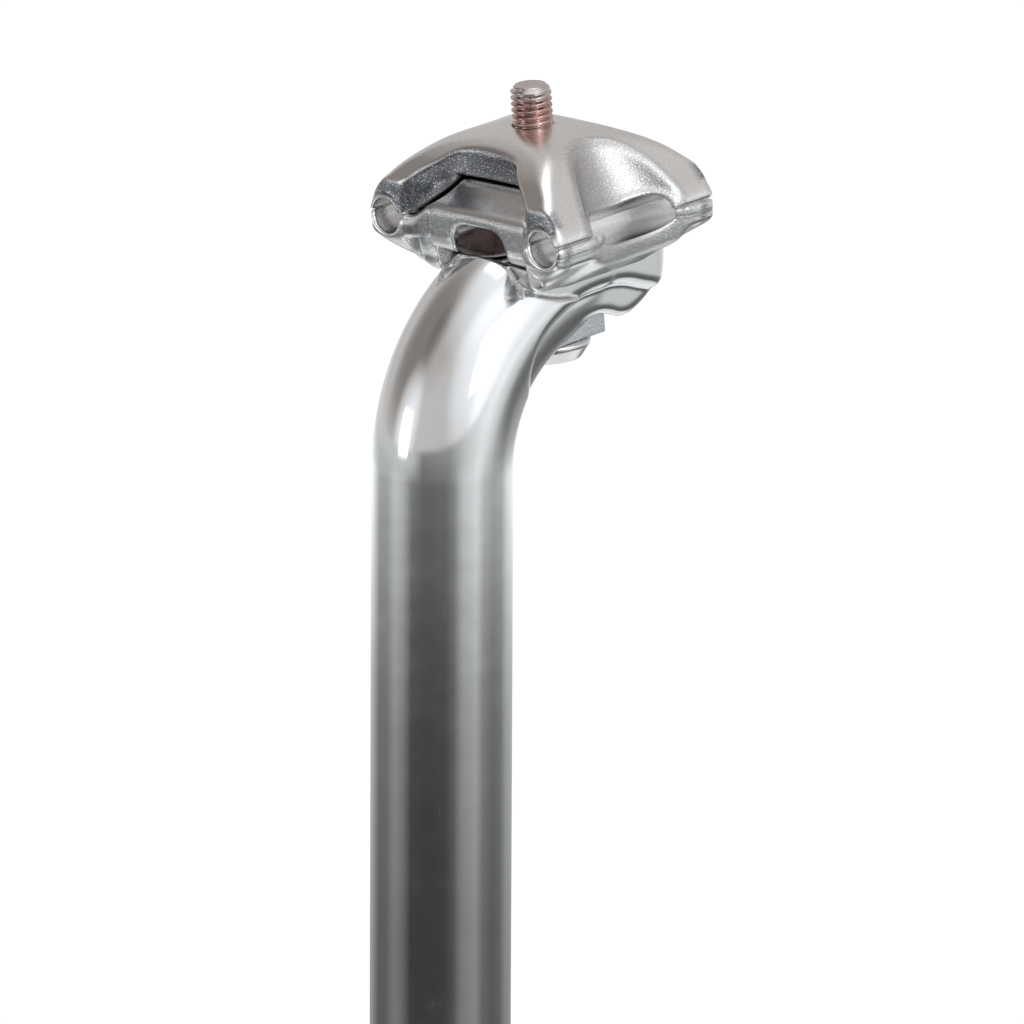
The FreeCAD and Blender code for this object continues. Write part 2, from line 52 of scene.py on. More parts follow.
# Fineness of the meshes: steps in millimetres, and the number of points round the thread
POST_STEP = 0.41
CLAMP_STEP = 0.3
SMALL_STEP = 0.16
WASHER_STEP = SMALL_STEP * 1.6
THREAD_STEP = 0.075
THREAD_COLUMNS = 80
TUBE_STEP = 4.0
TUBE_GAP = 1.0
TUBE_FOOT_LINES = [-0.8, -0.4, 0.0, 0.4, 0.8, 1.4]

# Room between a piece and the edge of its grid, in millimetres
POST_MARGIN = 0.8
HEAD_SIDE_MARGIN = 2.6
HEAD_TOP_MARGIN = 1.0
CLAMP_MARGIN = 0.7
CROWN_MARGIN = 0.8
UPPER_FOOT_MARGIN = 1.2
SMALL_MARGIN = 0.4
WASHER_FOOT_MARGIN = 0.6
WASHER_GRID_HEIGHT = 8.0

# A millimetre in metres, a distance in millimetres beyond every piece, and guards against dividing by nothing
MM = 0.001
FAR = 200.0
FARTHEST = 1e9
TINY = 1e-12
TINY_NORMAL = 1e-9

# Sizes from the frame, in millimetres
POST_RADIUS = mounts["post_shaft"]["dims"]["r_mm"]
STRAIGHT = mounts["post_shaft"]["dims"]["length_mm"]
RAIL_RADIUS = mounts["rail_clamp_right"]["dims"]["r_mm"]
RAIL_HALF = abs(mounts["rail_clamp_right"]["pos_m"][0]) / MM
RAIL_AXIS = mounts["rail_clamp_right"]["axis"]
TILT = math.atan2(RAIL_AXIS[2], RAIL_AXIS[1])
PIVOT = 18.3
PIVOT_IN_POST = (joint["pos_m"][1] / MM, joint["pos_m"][2] / MM)
RAIL_CENTRE = (PIVOT_IN_POST[0] + PIVOT * math.sin(TILT), PIVOT_IN_POST[1] - PIVOT * math.cos(TILT))

# The post, in millimetres
FINE_FROM = STRAIGHT - 15.0
BORE_RADIUS = 11.2
BORE_DEPTH = 238.0
BORE_CONE = 6.0
BORE_NARROWING = BORE_RADIUS * 2 / 3
BEND_RADIUS = 34.5
BEND_ANGLE = math.radians(60.0)
NECK_RUN = 11.0
HEAD_HALF = 11.85
HEAD_REAR = 26.0
HEAD_TOP = -5.3
HEAD_FRONT = -11.8
HEAD_FRONT_SLOPE = (2.9, 6.8)
HEAD_CORNER = 6.8
KEEL_HALF = 10.1
CRADLE_RADIUS = 29.1
SEAT_RADIUS = 38.5
SEAT_GAP = 0.08
SKIRT_SWING = 33.6
POCKET_HALF = 8.35
POCKET_FRONT = -15.0
POCKET_REAR = 16.9
SLOT_HALF_WIDTH = 4.45
SLOT_HALF_LENGTH = 9.4
SLOT_HALF_DEPTH = 20.0
FLANK_FOOT = [(-8.2, -34.6), (-11.7, -31.1), (-12.6, -28.1), (-11.1, -23.5), (-7.9, -20.2), (-3.6, -17.8),
              (1.8, -16.3), (7.2, -15.6), (12.5, -15.7), (17.9, -17.1), (21.8, -17.7), (24.7, -16.1),
              (26.0, -13.0)]
KEEL_FOOT = [(-19.4, -29.6), (-13.0, -27.9), (-8.8, -27.2), (-6.1, -24.9), (-3.2, -22.7), (0.8, -21.6),
             (6.2, -21.1), (9.1, -21.4), (12.2, -22.3), (15.3, -22.1), (18.8, -20.4), (21.8, -18.1),
             (24.6, -15.3), (26.0, -12.2)]
POST_ROUNDING = {"relief": 0.5, "head sides": 0.8, "head corners": 1.4, "neck": 1.2, "keel": 0.6,
                 "recess": 3.0, "cradle": 0.7, "pocket": 0.7, "slot": 0.4, "bore": 0.3, "foot": 0.6}

# The rail clamp, in millimetres, in its own frame
FRONT = 20.6
REAR = 22.0
CLAMP_HALF = 26.05
LOWER_LIP = 0.55
UPPER_LIP = 0.88
TROUGH_RADIUS = 5.5
BLOCK_TOP = 6.8
BLOCK_TOP_HALF = 9.7
BLOCK_FOOT_HALF = 15.45
BLOCK_GAP = 0.5
BLOCK_SIDE_GAP = 0.25
SKIRT_HALF = 13.8
SKIRT_FOOT = -11.5
SKIRT_ROUND = 2.5
SHOE_SIDE_GAP = 0.2
FEET_FRONT = 17.0
FOOT_RAKE = 1.3
FOOT_RAKE_TOP = -3.9
FOOT_RAKE_START = 0.2
FLARE_LIP = 0.3
FLARE_DROP = 2.7
END_WALL_HALF = BLOCK_FOOT_HALF + 0.5
END_WALL_TAPER = 3.0
ARM_SETBACK = 0.8
RING_WALL = 0.45
WINDOW_HALF = 6.95
WINDOW_TOP = -0.3
WINDOW_CORNER = 3.9
SLOPE_CREST = 10.7
SLOPE_SHOULDER = (2.1, 2.4)
SLOPE_KNEE = 2.4
LIP_FOOT = -1.8
LIP_STEP = 0.5
WAIST_HALF = 12.6
WAIST_FOOT = -5.6
LOWER_SCOOP_DEPTH = 2.1
LOWER_SCOOP_DRAFT = 0.12
LOWER_SCOOP_HALF = 11.6
LOWER_SCOOP_CENTRE = 2.3
UPPER_SCOOP_CENTRE = 0.6
UPPER_SCOOP_WALL = 20.6
UPPER_SCOOP_RADIUS = 14.6
UPPER_SCOOP_TAPER = math.radians(18.9)
UPPER_SCOOP_LEAN = math.radians(26.7) + UPPER_SCOOP_TAPER
CROWN = 17.5
SIDE_ROOF = [(0.0, 0.0), (0.21, 0.06), (0.40, 0.14), (0.59, 0.27), (0.80, 0.565), (0.94, 0.85), (1.0, 1.0)]
END_ROOF = [(0.0, 0.0), (0.26, 0.08), (0.49, 0.23), (0.78, 0.57), (0.94, 0.88), (1.0, 1.0)]
SIDE_EDGE = (1.2, 4.5)
SIDE_FACE_HEIGHT = 2.2
END_EDGE = (0.9, 7.1)
END_LIP = 4.7
LOWER_ROUNDING = {"section": 0.8, "ends": 1.8, "waist section": 0.9, "waist ends": 4.0, "waist": 1.5,
                  "lip": 0.4, "shoe": 0.4, "window": 1.2, "slope": 1.6, "end wall": 1.6, "rake": 1.0,
                  "flare": 2.2, "channel": 0.9, "scoop": 1.4, "hole": 0.3}
UPPER_ROUNDING = {"section": 0.5, "ends": 1.2, "ridges": 1.6, "roof": 0.9, "notch": 1.6, "scoop": 1.0,
                  "ring face": 0.3, "ring": 1.4, "channel": 0.3, "hole": 0.3}

# Plan of the notches between the arms, in millimetres, at the block's top and at the crown
NOTCH_LEG = (16.7, 9.9)
NOTCH_CORNER = (10.3, 4.1)
NOTCH_DEPTH = (10.4, 12.8)
NOTCH_MOUTH = 0.5
NOTCH_SHOULDER = (1.2, 2.4)
NOTCH_WAIST = (0.5, 0.4)
NOTCH_BACK = 0.9

# The bolt and its washer, in millimetres, in the clamp's frame
BOLT_RADIUS = 3.98
BOLT_TOP = 24.4
BOLT_CHAMFER = 0.95
BOLT_HEAD = 8.1
BOLT_HEAD_FOOT = 6.2
BOLT_HEAD_RIM = 1.1
BOLT_HEAD_ROUNDING = 0.7
BOLT_END_SHARE = 0.75
BOLT_END_EDGE = 0.1
BOLT_END_MIDDLE = 0.14
SHANK_OVERLAP = 0.1
SOCKET_HALF = 2.5
SOCKET_DEPTH = 2.2
SOCKET_ROUNDING = 0.25
HEAD_FOOT = -30.0
THREAD_PITCH = 1.25
THREAD_DEPTH = 0.7
GROOVE_SLOPE = 1.25
GROOVE_FLOOR = 0.86
LOWER_HOLE = 4.35
UPPER_HOLE = 4.0
WASHER_HOLE = 4.3
WASHER_HALF = (7.1, 8.9)
WASHER_PLANE = -26.2
WASHER_ROUNDING = {"corners": 1.0, "foot": 0.5, "seat": 0.4, "hole": 0.3}

# Where the metal is marked for its material, for satin, painted shade and the bolt's copper-coloured spots: a
# mark fades over a distance from the place, in millimetres
MARK_CORE = 0.3
MARK_FADE = 1.2
LOWER_END_MARK = 3.0
END_MARK_RATE = 0.5
END_MARK_TOP = 1.5
END_MARK_SIDE = (1.5, 2.0)
END_MARK_RING = (1.5, 3.0)
RIM_MARK = (1.5, 2.2)
BOLT_COPPER_SPOTS = (19.5, 3.6)
BOLT_COPPER_SPOTS_PEAK = 1.4
SHANK_COPPER_SPOTS = 0.8
SHANK_COPPER_SPOTS_FOOT = -20.0


# Fields of signed distance
def smooth_max(a, b, rounding):
    """The larger of two fields, with the edge between them rounded."""
    near = np.maximum(rounding - np.abs(a - b), 0.0) / rounding
    return np.maximum(a, b) + near * near * rounding * 0.25


def smooth_min(a, b, rounding):
    """The smaller of two fields, with the corner between them filled."""
    return -smooth_max(-a, -b, rounding)


def carve(solid, tool, rounding):
    """Take a tool out of a solid and round the edge that it leaves."""
    return smooth_max(solid, -tool, rounding)


def in_polygon(points, u, v):
    """Signed distance to a closed outline."""
    nearest = np.full(np.broadcast(u, v).shape, FARTHEST)
    inside = np.zeros(nearest.shape, bool)
    for (u1, v1), (u2, v2) in zip(points, points[1:] + points[:1]):
        du = u2 - u1
        dv = v2 - v1
        share = np.clip(((u - u1) * du + (v - v1) * dv) / (du * du + dv * dv + TINY), 0.0, 1.0)
        nearest = np.minimum(nearest, (u - u1 - share * du) ** 2 + (v - v1 - share * dv) ** 2)
        if dv != 0.0:
            crosses = ((v1 > v) != (v2 > v)) & (u < du * (v - v1) / dv + u1)
            inside ^= crosses
    nearest = np.sqrt(nearest)
    return np.where(inside, -nearest, nearest)


def spline(points, parts=6):
    """A smooth line through points."""
    ends = [points[0]] + list(points) + [points[-1]]
    line = []
    for a, b, c, d in zip(ends, ends[1:], ends[2:], ends[3:]):
        for step in range(parts):
            t = step / parts
            line.append(tuple(0.5 * (2 * q + (r - p) * t + (2 * p - 5 * q + 4 * r - s) * t * t
                                     + (3 * q - p - 3 * r + s) * t ** 3) for p, q, r, s in zip(a, b, c, d)))
    return line + [points[-1]]


def rounded(points, radius, parts=5, most_of_side=0.45):
    """A closed outline with each corner replaced by a curve."""
    line = []
    for before, corner, after in zip(points[-1:] + points[:-1], points, points[1:] + points[:1]):
        back = np.subtract(before, corner)
        ahead = np.subtract(after, corner)
        lengths = np.hypot(*back), np.hypot(*ahead)
        back = back / lengths[0]
        ahead = ahead / lengths[1]
        half = math.acos(float(np.clip(back @ ahead, -1.0, 1.0))) / 2
        reach = min(radius / max(math.tan(half), TINY), most_of_side * min(lengths))
        for step in range(parts + 1):
            t = step / parts
            shift = back * reach * (1 - t) ** 2 + ahead * reach * t ** 2
            line.append(tuple(np.add(corner, shift)))
    return line


def arc(centre, radius, start, end, parts=10):
    """Points of an arc between two angles in radians."""
    turns = [start + (end - start) * step / parts for step in range(parts + 1)]
    return [(centre[0] + radius * math.cos(turn), centre[1] + radius * math.sin(turn)) for turn in turns]


def mirrored(points):
    """Points mirrored across the middle, last first, so that they close an outline."""
    return [(-u, v) for u, v in reversed(points)]


# Meshes
def axis_steps(low, high, step):
    """Even places from low to high, about a step apart."""
    return np.linspace(low, high, max(2, int(round((high - low) / step)) + 1))


def surface_points(field, grid, inside):
    """A point in each cell that the surface crosses, its normal, and the number of each such cell."""
    shape = tuple(n - 1 for n in field.shape)
    corners = [(i, j, k) for i in (0, 1) for j in (0, 1) for k in (0, 1)]
    count = np.zeros(shape, np.int8)
    for i, j, k in corners:
        count += inside[i:shape[0] + i, j:shape[1] + j, k:shape[2] + k]
    cells = np.argwhere((count > 0) & (count < len(corners)))
    index = np.full(shape, -1, np.int64)
    index[tuple(cells.T)] = np.arange(len(cells))
    total = np.zeros((len(cells), 3))
    number = np.zeros(len(cells))
    for a in corners:
        for axis in range(3):
            if a[axis]:
                continue
            b = tuple(1 if n == axis else a[n] for n in range(3))
            fa = field[tuple((cells + a).T)]
            fb = field[tuple((cells + b).T)]
            crosses = (fa < 0) != (fb < 0)
            share = np.where(crosses, fa / np.where(fa == fb, 1.0, fa - fb), 0.0)
            point = np.array(a, float) + np.eye(3)[axis] * share[:, None]
            total += np.where(crosses[:, None], point, 0.0)
            number += crosses
    local = total / number[:, None]
    points = np.empty_like(local)
    for n, steps in enumerate(grid):
        low = steps[cells[:, n]]
        points[:, n] = low + local[:, n] * (steps[cells[:, n] + 1] - low)
    normals = np.zeros_like(local)
    for n, slope in enumerate(np.gradient(field, *grid)):
        for corner in corners:
            weight = np.prod(np.where(corner, local, 1.0 - local), 1)
            normals[:, n] += weight * slope[tuple((cells + corner).T)]
    normals /= np.linalg.norm(normals, axis=1)[:, None] + TINY_NORMAL
    return points, normals, index


def surface_quads(inside, index):
    """A quad round each edge of the grid that the surface crosses, joining the points of its cells."""
    quads = []
    for axis in range(3):
        one = (axis + 1) % 3
        two = (axis + 2) % 3
        near = np.take(inside, range(inside.shape[axis] - 1), axis)
        far = np.take(inside, range(1, inside.shape[axis]), axis)
        edges = np.argwhere(near != far)
        keep = (edges[:, one] > 0) & (edges[:, two] > 0)
        keep &= (edges[:, one] < index.shape[one]) & (edges[:, two] < index.shape[two])
        edges = edges[keep]
        ring = []
        for back_one, back_two in ((1, 1), (0, 1), (0, 0), (1, 0)):
            at = edges.copy()
            at[:, one] -= back_one
            at[:, two] -= back_two
            ring.append(index[tuple(at.T)])
        quad = np.stack(ring, 1)
        outward = near[tuple(edges.T)]
        quad[~outward] = quad[~outward][:, ::-1]
        quads.append(quad)
    return np.concatenate(quads)


def surface(field, *grid):
    """Points, quads and normals of the surface where a field changes sign."""
    inside = field < 0.0
    points, normals, index = surface_points(field, grid, inside)
    return points, surface_quads(inside, index), normals


def open_grid(xs, ys, zs):
    """The three axes shaped so that a field of them fills the grid."""
    return xs[:, None, None], ys[None, :, None], zs[None, None, :]


def piece(name, points, quads, body, node, material, normals=None):
    """A smooth mesh that stands for a CAD node and rides on its body."""
    mesh = bpy.data.meshes.new(name)
    mesh.vertices.add(len(points))
    mesh.vertices.foreach_set("co", (np.asarray(points) * MM).astype(np.float32).ravel())
    mesh.loops.add(quads.size)
    mesh.loops.foreach_set("vertex_index", quads.astype(np.int32).ravel())
    mesh.polygons.add(len(quads))
    mesh.polygons.foreach_set("loop_start", np.arange(0, quads.size, 4, dtype=np.int32))
    mesh.update(calc_edges=True)
    mesh.validate()
    mesh.shade_smooth()
    if normals is not None:
        mesh.normals_split_custom_set_from_vertices(normals.tolist())
    thing = bpy.data.objects.new(name, mesh)
    bpy.context.scene.collection.objects.link(thing)
    mesh.materials.append(material)
    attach(thing, body)
    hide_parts(node)
    return thing


def clamp_to_post(points):
    """From the clamp's own frame to the post's."""
    y = RAIL_CENTRE[0] + points[:, 1] * math.cos(TILT) - points[:, 2] * math.sin(TILT)
    z = RAIL_CENTRE[1] + points[:, 1] * math.sin(TILT) + points[:, 2] * math.cos(TILT)
    return np.stack([points[:, 0], y, z], 1)


def clamp_directions(normals):
    """Directions from the clamp's own frame to the post's."""
    return clamp_to_post(normals) - clamp_to_post(np.zeros((1, 3)))


def mark(thing, name, values):
    """A value between 0 and 1 at each point, for the material."""
    attribute = thing.data.attributes.new(name, "FLOAT", "POINT")
    attribute.data.foreach_set("value", np.clip(values, 0.0, 1.0).astype(np.float32))


# The post
def bar_field(x, y, z):
    """Straight tube, bend and neck round one centre line."""
    below = np.hypot(y, np.maximum(z - STRAIGHT, 0.0))
    turn = np.arctan2(z - STRAIGHT, BEND_RADIUS - y)
    on_bend = np.abs(np.hypot(y - BEND_RADIUS, z - STRAIGHT) - BEND_RADIUS)
    end = (BEND_RADIUS * (1 - math.cos(BEND_ANGLE)), STRAIGHT + BEND_RADIUS * math.sin(BEND_ANGLE))
    along = (y - end[0]) * math.sin(BEND_ANGLE) + (z - end[1]) * math.cos(BEND_ANGLE)
    aside = (y - end[0]) * math.cos(BEND_ANGLE) - (z - end[1]) * math.sin(BEND_ANGLE)
    on_run = np.hypot(aside, np.maximum(along - NECK_RUN, 0.0))
    above = np.where((turn < BEND_ANGLE) & (y < BEND_RADIUS), on_bend, on_run)
    return np.hypot(x, np.where(z < STRAIGHT, below, above)) - POST_RADIUS


def head_points(points):
    """Points given from the rails' centre, moved to the post's own frame."""
    return [(RAIL_CENTRE[0] + along, RAIL_CENTRE[1] + up) for along, up in points]


def head_block(x, y, z):
    """The block of the head, with a shaped underside and round rear corners."""
    beyond = HEAD_REAR + HEAD_CORNER
    run, drop = HEAD_FRONT_SLOPE
    outline = spline(head_points(KEEL_FOOT))
    outline += head_points([(beyond, KEEL_FOOT[-1][1]), (beyond, HEAD_TOP), (HEAD_FRONT + run, HEAD_TOP),
                            (HEAD_FRONT, HEAD_TOP - drop)])
    block = smooth_max(in_polygon(outline, y, z), np.abs(x) - HEAD_HALF, POST_ROUNDING["head sides"])
    corner_x = np.maximum(np.abs(x) - (HEAD_HALF - HEAD_CORNER), 0.0)
    corner_y = np.maximum(y - (RAIL_CENTRE[0] + HEAD_REAR - HEAD_CORNER), 0.0)
    plan = np.hypot(corner_x, corner_y) - HEAD_CORNER
    return smooth_max(block, plan, POST_ROUNDING["head corners"])


def post_field(x, y, z):
    """The forged post."""
    swing = np.hypot(y - PIVOT_IN_POST[0], z - PIVOT_IN_POST[1])
    relief = np.maximum(swing - SKIRT_SWING, HEAD_HALF - np.abs(x))
    bar = carve(bar_field(x, y, z), relief, POST_ROUNDING["relief"])
    solid = smooth_min(bar, head_block(x, y, z), POST_ROUNDING["neck"])
    foot = head_points(FLANK_FOOT)
    recess = spline(foot) + [(FAR, foot[-1][1]), (FAR, foot[0][1] - FAR), (foot[0][0], foot[0][1] - FAR)]
    recess = smooth_max(in_polygon(recess, y, z), KEEL_HALF - np.abs(x), POST_ROUNDING["keel"])
    solid = carve(solid, recess, POST_ROUNDING["recess"])
    solid = carve(solid, swing - CRADLE_RADIUS, POST_ROUNDING["cradle"])
    clamp_y = (y - RAIL_CENTRE[0]) * math.cos(TILT) + (z - RAIL_CENTRE[1]) * math.sin(TILT)
    clamp_z = (z - RAIL_CENTRE[1]) * math.cos(TILT) - (y - RAIL_CENTRE[0]) * math.sin(TILT)
    seat = SEAT_RADIUS - np.hypot(clamp_y, clamp_z - PIVOT)
    pocket = np.maximum(np.maximum(np.abs(x) - POCKET_HALF, seat),
                        np.maximum(POCKET_FRONT - clamp_y, clamp_y - POCKET_REAR))
    pocket = np.maximum(pocket, clamp_z)
    solid = carve(solid, pocket, POST_ROUNDING["pocket"])
    slot_end = np.maximum(np.abs(clamp_y) - (SLOT_HALF_LENGTH - SLOT_HALF_WIDTH), 0.0)
    slot = np.maximum(np.hypot(x, slot_end) - SLOT_HALF_WIDTH,
                      np.abs(clamp_z + SLOT_HALF_DEPTH) - SLOT_HALF_DEPTH)
    solid = carve(solid, slot, POST_ROUNDING["slot"])
    cone = BORE_RADIUS - np.maximum(z - BORE_DEPTH, 0.0) * BORE_NARROWING / BORE_CONE
    bore = np.maximum(np.hypot(x, y) - cone, z - BORE_DEPTH - BORE_CONE)
    solid = carve(solid, bore, POST_ROUNDING["bore"])
    return smooth_max(solid, -z, POST_ROUNDING["foot"])


def make_post(material):
    """The post as a smooth mesh, on a grid that is coarse along the straight tube."""
    reach = HEAD_HALF + HEAD_SIDE_MARGIN
    xs = axis_steps(-reach, reach, POST_STEP)
    ys = axis_steps(-POST_RADIUS - POST_MARGIN, RAIL_CENTRE[0] + HEAD_REAR + POST_MARGIN, POST_STEP)
    tube = np.arange(TUBE_STEP, FINE_FROM - TUBE_GAP, TUBE_STEP)
    fine = axis_steps(FINE_FROM, RAIL_CENTRE[1] + HEAD_TOP + HEAD_TOP_MARGIN, POST_STEP)
    zs = np.concatenate([TUBE_FOOT_LINES, tube, fine])
    field = post_field(*open_grid(xs, ys, zs))
    points, quads, normals = surface(field, xs, ys, zs)
    return piece("post_forging", points, quads, "post", "post", material, normals)


# The lower half of the clamp
def end_reach(end):
    """How far the clamp reaches to the front, at -1, or to the rear, at 1."""
    return FRONT if end < 0 else REAR


def lower_section():
    """Front view of the lower half."""
    across = RAIL_HALF - SKIRT_HALF
    reach = math.hypot(across, SKIRT_FOOT)
    turn = math.atan2(-SKIRT_FOOT, across) - math.asin(TROUGH_RADIUS / reach)
    length = math.sqrt(reach ** 2 - TROUGH_RADIUS ** 2)
    tangent = (SKIRT_HALF + length * math.cos(turn), SKIRT_FOOT + length * math.sin(turn))
    wall = CLAMP_HALF - RAIL_HALF
    start = math.atan2(-math.sqrt(TROUGH_RADIUS ** 2 - wall ** 2), wall)
    end = math.atan2(tangent[1], tangent[0] - RAIL_HALF)
    right = [(BLOCK_TOP_HALF, BLOCK_TOP), (BLOCK_FOOT_HALF, LOWER_LIP), (CLAMP_HALF, LOWER_LIP)]
    right += arc((RAIL_HALF, 0.0), TROUGH_RADIUS, start, end) + [(SKIRT_HALF, SKIRT_FOOT)]
    return right + mirrored(right)


def clamp_ends(y, setback=0.0):
    """Distance past the front and rear planes of the clamp."""
    return np.maximum(-FRONT + setback - y, y - REAR + setback)


def channels(x, z):
    """Signed distance to the two round channels for the saddle's rails."""
    return np.hypot(np.abs(x) - RAIL_HALF, z) - RAIL_RADIUS


def lower_bay(x, y, z):
    """A round bay cut in from the side of the lower half, open outward, and leaning in as it goes down."""
    y = y - LOWER_SCOOP_CENTRE
    depth = LOWER_SCOOP_DEPTH - LOWER_SCOOP_DRAFT * (z + TROUGH_RADIUS / 2)
    radius = (LOWER_SCOOP_HALF ** 2 + LOWER_SCOOP_DEPTH ** 2) / (2 * LOWER_SCOOP_DEPTH)
    round_part = np.hypot(np.abs(x) - CLAMP_HALF + depth - radius, y) - radius
    outside = np.maximum(CLAMP_HALF - np.abs(x), np.abs(y) - LOWER_SCOOP_HALF)
    return np.minimum(round_part, outside)


def lower_waist(x, y, z):
    """The fuller body of the lower half between the round ends of its troughs."""
    right = [(BLOCK_FOOT_HALF, LOWER_LIP), (CLAMP_HALF, LOWER_LIP), (CLAMP_HALF, WAIST_FOOT),
             (SKIRT_HALF, SKIRT_FOOT)]
    section = in_polygon(rounded(right + mirrored(right), LOWER_ROUNDING["waist section"]), x, z)
    return smooth_max(section, np.abs(y - LOWER_SCOOP_CENTRE) - WAIST_HALF, LOWER_ROUNDING["waist ends"])


def shape_lower_end(solid, end, x, y, z):
    """Slope, end wall, raked feet and flare at the front or the rear of the lower half."""
    ends = end_reach(end)
    shift = ends - FRONT
    feet = FEET_FRONT + shift
    crest = SLOPE_CREST + shift
    run, drop = SLOPE_SHOULDER
    slope = spline([(ends, LOWER_LIP), (feet, SLOPE_KNEE), (crest + run, BLOCK_TOP - drop),
                    (crest, BLOCK_TOP)])
    slope += [(crest, FAR), (FAR, FAR), (FAR, LOWER_LIP)]
    above = np.maximum(in_polygon(slope, end * y, z), np.abs(x) - BLOCK_FOOT_HALF - BLOCK_SIDE_GAP)
    solid = carve(solid, above, LOWER_ROUNDING["slope"])
    wall = [(END_WALL_HALF, FAR), (END_WALL_HALF, ends), (END_WALL_HALF - END_WALL_TAPER, feet)]
    solid = carve(solid, in_polygon(wall + mirrored(wall), x, end * y), LOWER_ROUNDING["end wall"])
    raked = [(feet + FOOT_RAKE_START, FOOT_RAKE_TOP), (feet - FOOT_RAKE, SKIRT_FOOT), (FAR, SKIRT_FOOT),
             (FAR, FOOT_RAKE_TOP)]
    ahead = np.maximum(in_polygon(raked, end * y, z), np.abs(x) - END_WALL_HALF)
    solid = carve(solid, ahead, LOWER_ROUNDING["rake"])
    foot_round = arc((feet - SKIRT_ROUND, SKIRT_FOOT + SKIRT_ROUND), SKIRT_ROUND, 0.0, -math.pi / 2)
    under = -TROUGH_RADIUS
    flare = [(ends + FLARE_LIP, under + FLARE_LIP), (ends - FLARE_LIP, under), (feet, under - FLARE_DROP)]
    flare += foot_round + [(feet - SKIRT_ROUND, -FAR), (FAR, -FAR), (FAR, under + FLARE_LIP)]
    return carve(solid, in_polygon(flare, end * y, z), LOWER_ROUNDING["flare"])


def lower_field(x, y, z):
    """The lower half, and how near each place is to a side scoop and to its sloped ends, for the satin and
    painted shade of the material.
    """
    section = in_polygon(rounded(lower_section(), LOWER_ROUNDING["section"]), x, z)
    solid = smooth_max(section, clamp_ends(y), LOWER_ROUNDING["ends"])
    solid = smooth_min(solid, lower_waist(x, y, z), LOWER_ROUNDING["waist"])
    below_lip = np.maximum(CLAMP_HALF - LIP_STEP - np.abs(x), z - LIP_FOOT)
    solid = carve(solid, below_lip, LOWER_ROUNDING["lip"])
    shoe = np.maximum(np.abs(x) - HEAD_HALF - SHOE_SIDE_GAP,
                      CRADLE_RADIUS - SEAT_GAP - np.hypot(y, z - PIVOT))
    solid = carve(solid, np.maximum(shoe, z - PIVOT), LOWER_ROUNDING["shoe"])
    corner = (WINDOW_HALF - WINDOW_CORNER, WINDOW_TOP - WINDOW_CORNER)
    window = [(WINDOW_HALF, -FAR)] + arc(corner, WINDOW_CORNER, 0.0, math.pi / 2)
    solid = carve(solid, in_polygon(window + mirrored(window), x, z), LOWER_ROUNDING["window"])
    for end in (-1, 1):
        solid = shape_lower_end(solid, end, x, y, z)
    scoops = lower_bay(x, y, z)
    solid = carve(solid, channels(x, z), LOWER_ROUNDING["channel"])
    solid = carve(solid, scoops, LOWER_ROUNDING["scoop"])
    solid = carve(solid, np.hypot(x, y) - LOWER_HOLE, LOWER_ROUNDING["hole"])
    return solid, scoops, clamp_ends(y, LOWER_END_MARK)


# The upper half of the clamp
def upper_section():
    """Front view of the upper half's underside, open above."""
    right = [(BLOCK_TOP_HALF + BLOCK_SIDE_GAP, BLOCK_TOP + BLOCK_GAP),
             (BLOCK_FOOT_HALF + BLOCK_SIDE_GAP, UPPER_LIP), (CLAMP_HALF, UPPER_LIP), (CLAMP_HALF, FAR)]
    return right + mirrored(right)


def roof(shares, reach, edge, foot_height):
    """Half of a roof line, from the crown out to its edge and the lip below it."""
    run, height = edge
    slope = [(out * (reach - run), CROWN - down * (CROWN - height)) for out, down in shares]
    return spline(slope) + [(reach, foot_height), (reach, -FAR)]


def between(pair, share):
    """The value at a share of the way from the first of a pair to the second."""
    return pair[0] + (pair[1] - pair[0]) * share


def notch_outline(end, level):
    """Plan of the notch between two arms: level 0 at the block's top and 1 at the crown."""
    ends = end_reach(end)
    level = max(level, 0.0)
    leg = between(NOTCH_LEG, level)
    corner = between(NOTCH_CORNER, level)
    deep = between(NOTCH_DEPTH, level) + (ends - FRONT)
    mouth = leg + NOTCH_MOUTH
    half = [(mouth, ends), (leg - NOTCH_SHOULDER[0], ends - NOTCH_SHOULDER[1]),
            ((leg + corner) / 2 - NOTCH_WAIST[0], (ends + deep) / 2 - NOTCH_WAIST[1]),
            (corner, deep + NOTCH_BACK)]
    line = spline(half + [(0.0, deep)] + mirrored(half))
    return [(mouth, FAR)] + line + [(-mouth, FAR)]


def notches_field(x, y, z):
    """The front and rear notches, level by level, because their plan changes with height."""
    notches = np.empty(np.broadcast(x, y, z).shape)
    for k, height in enumerate(z.ravel()):
        level = (height - BLOCK_TOP) / (CROWN - BLOCK_TOP)
        notches[:, :, k] = np.minimum(in_polygon(notch_outline(-1, level), x, -y)[:, :, 0],
                                      in_polygon(notch_outline(1, level), x, y)[:, :, 0])
    return notches


def upper_marks(x, y, z, section, notches):
    """Where shade is painted: how near each place is to a notch, inside the arms' end faces and away from the
    lips, which stay unshaded.
    """
    ends = np.maximum(END_MARK_RATE * np.abs(clamp_ends(y, ARM_SETBACK)), z - END_LIP - END_MARK_TOP)
    start, rate = END_MARK_SIDE
    ends = np.maximum(ends, rate * (np.abs(x) - CLAMP_HALF + start))
    start, rate = END_MARK_RING
    ends = np.maximum(ends, start + rate * (RING_WALL - channels(x, z)))
    # The lips are kept out of the painted shade
    start, rate = RIM_MARK
    bright_rim = start - rate * np.abs(section)
    return np.maximum(np.minimum(np.abs(notches), ends), bright_rim)


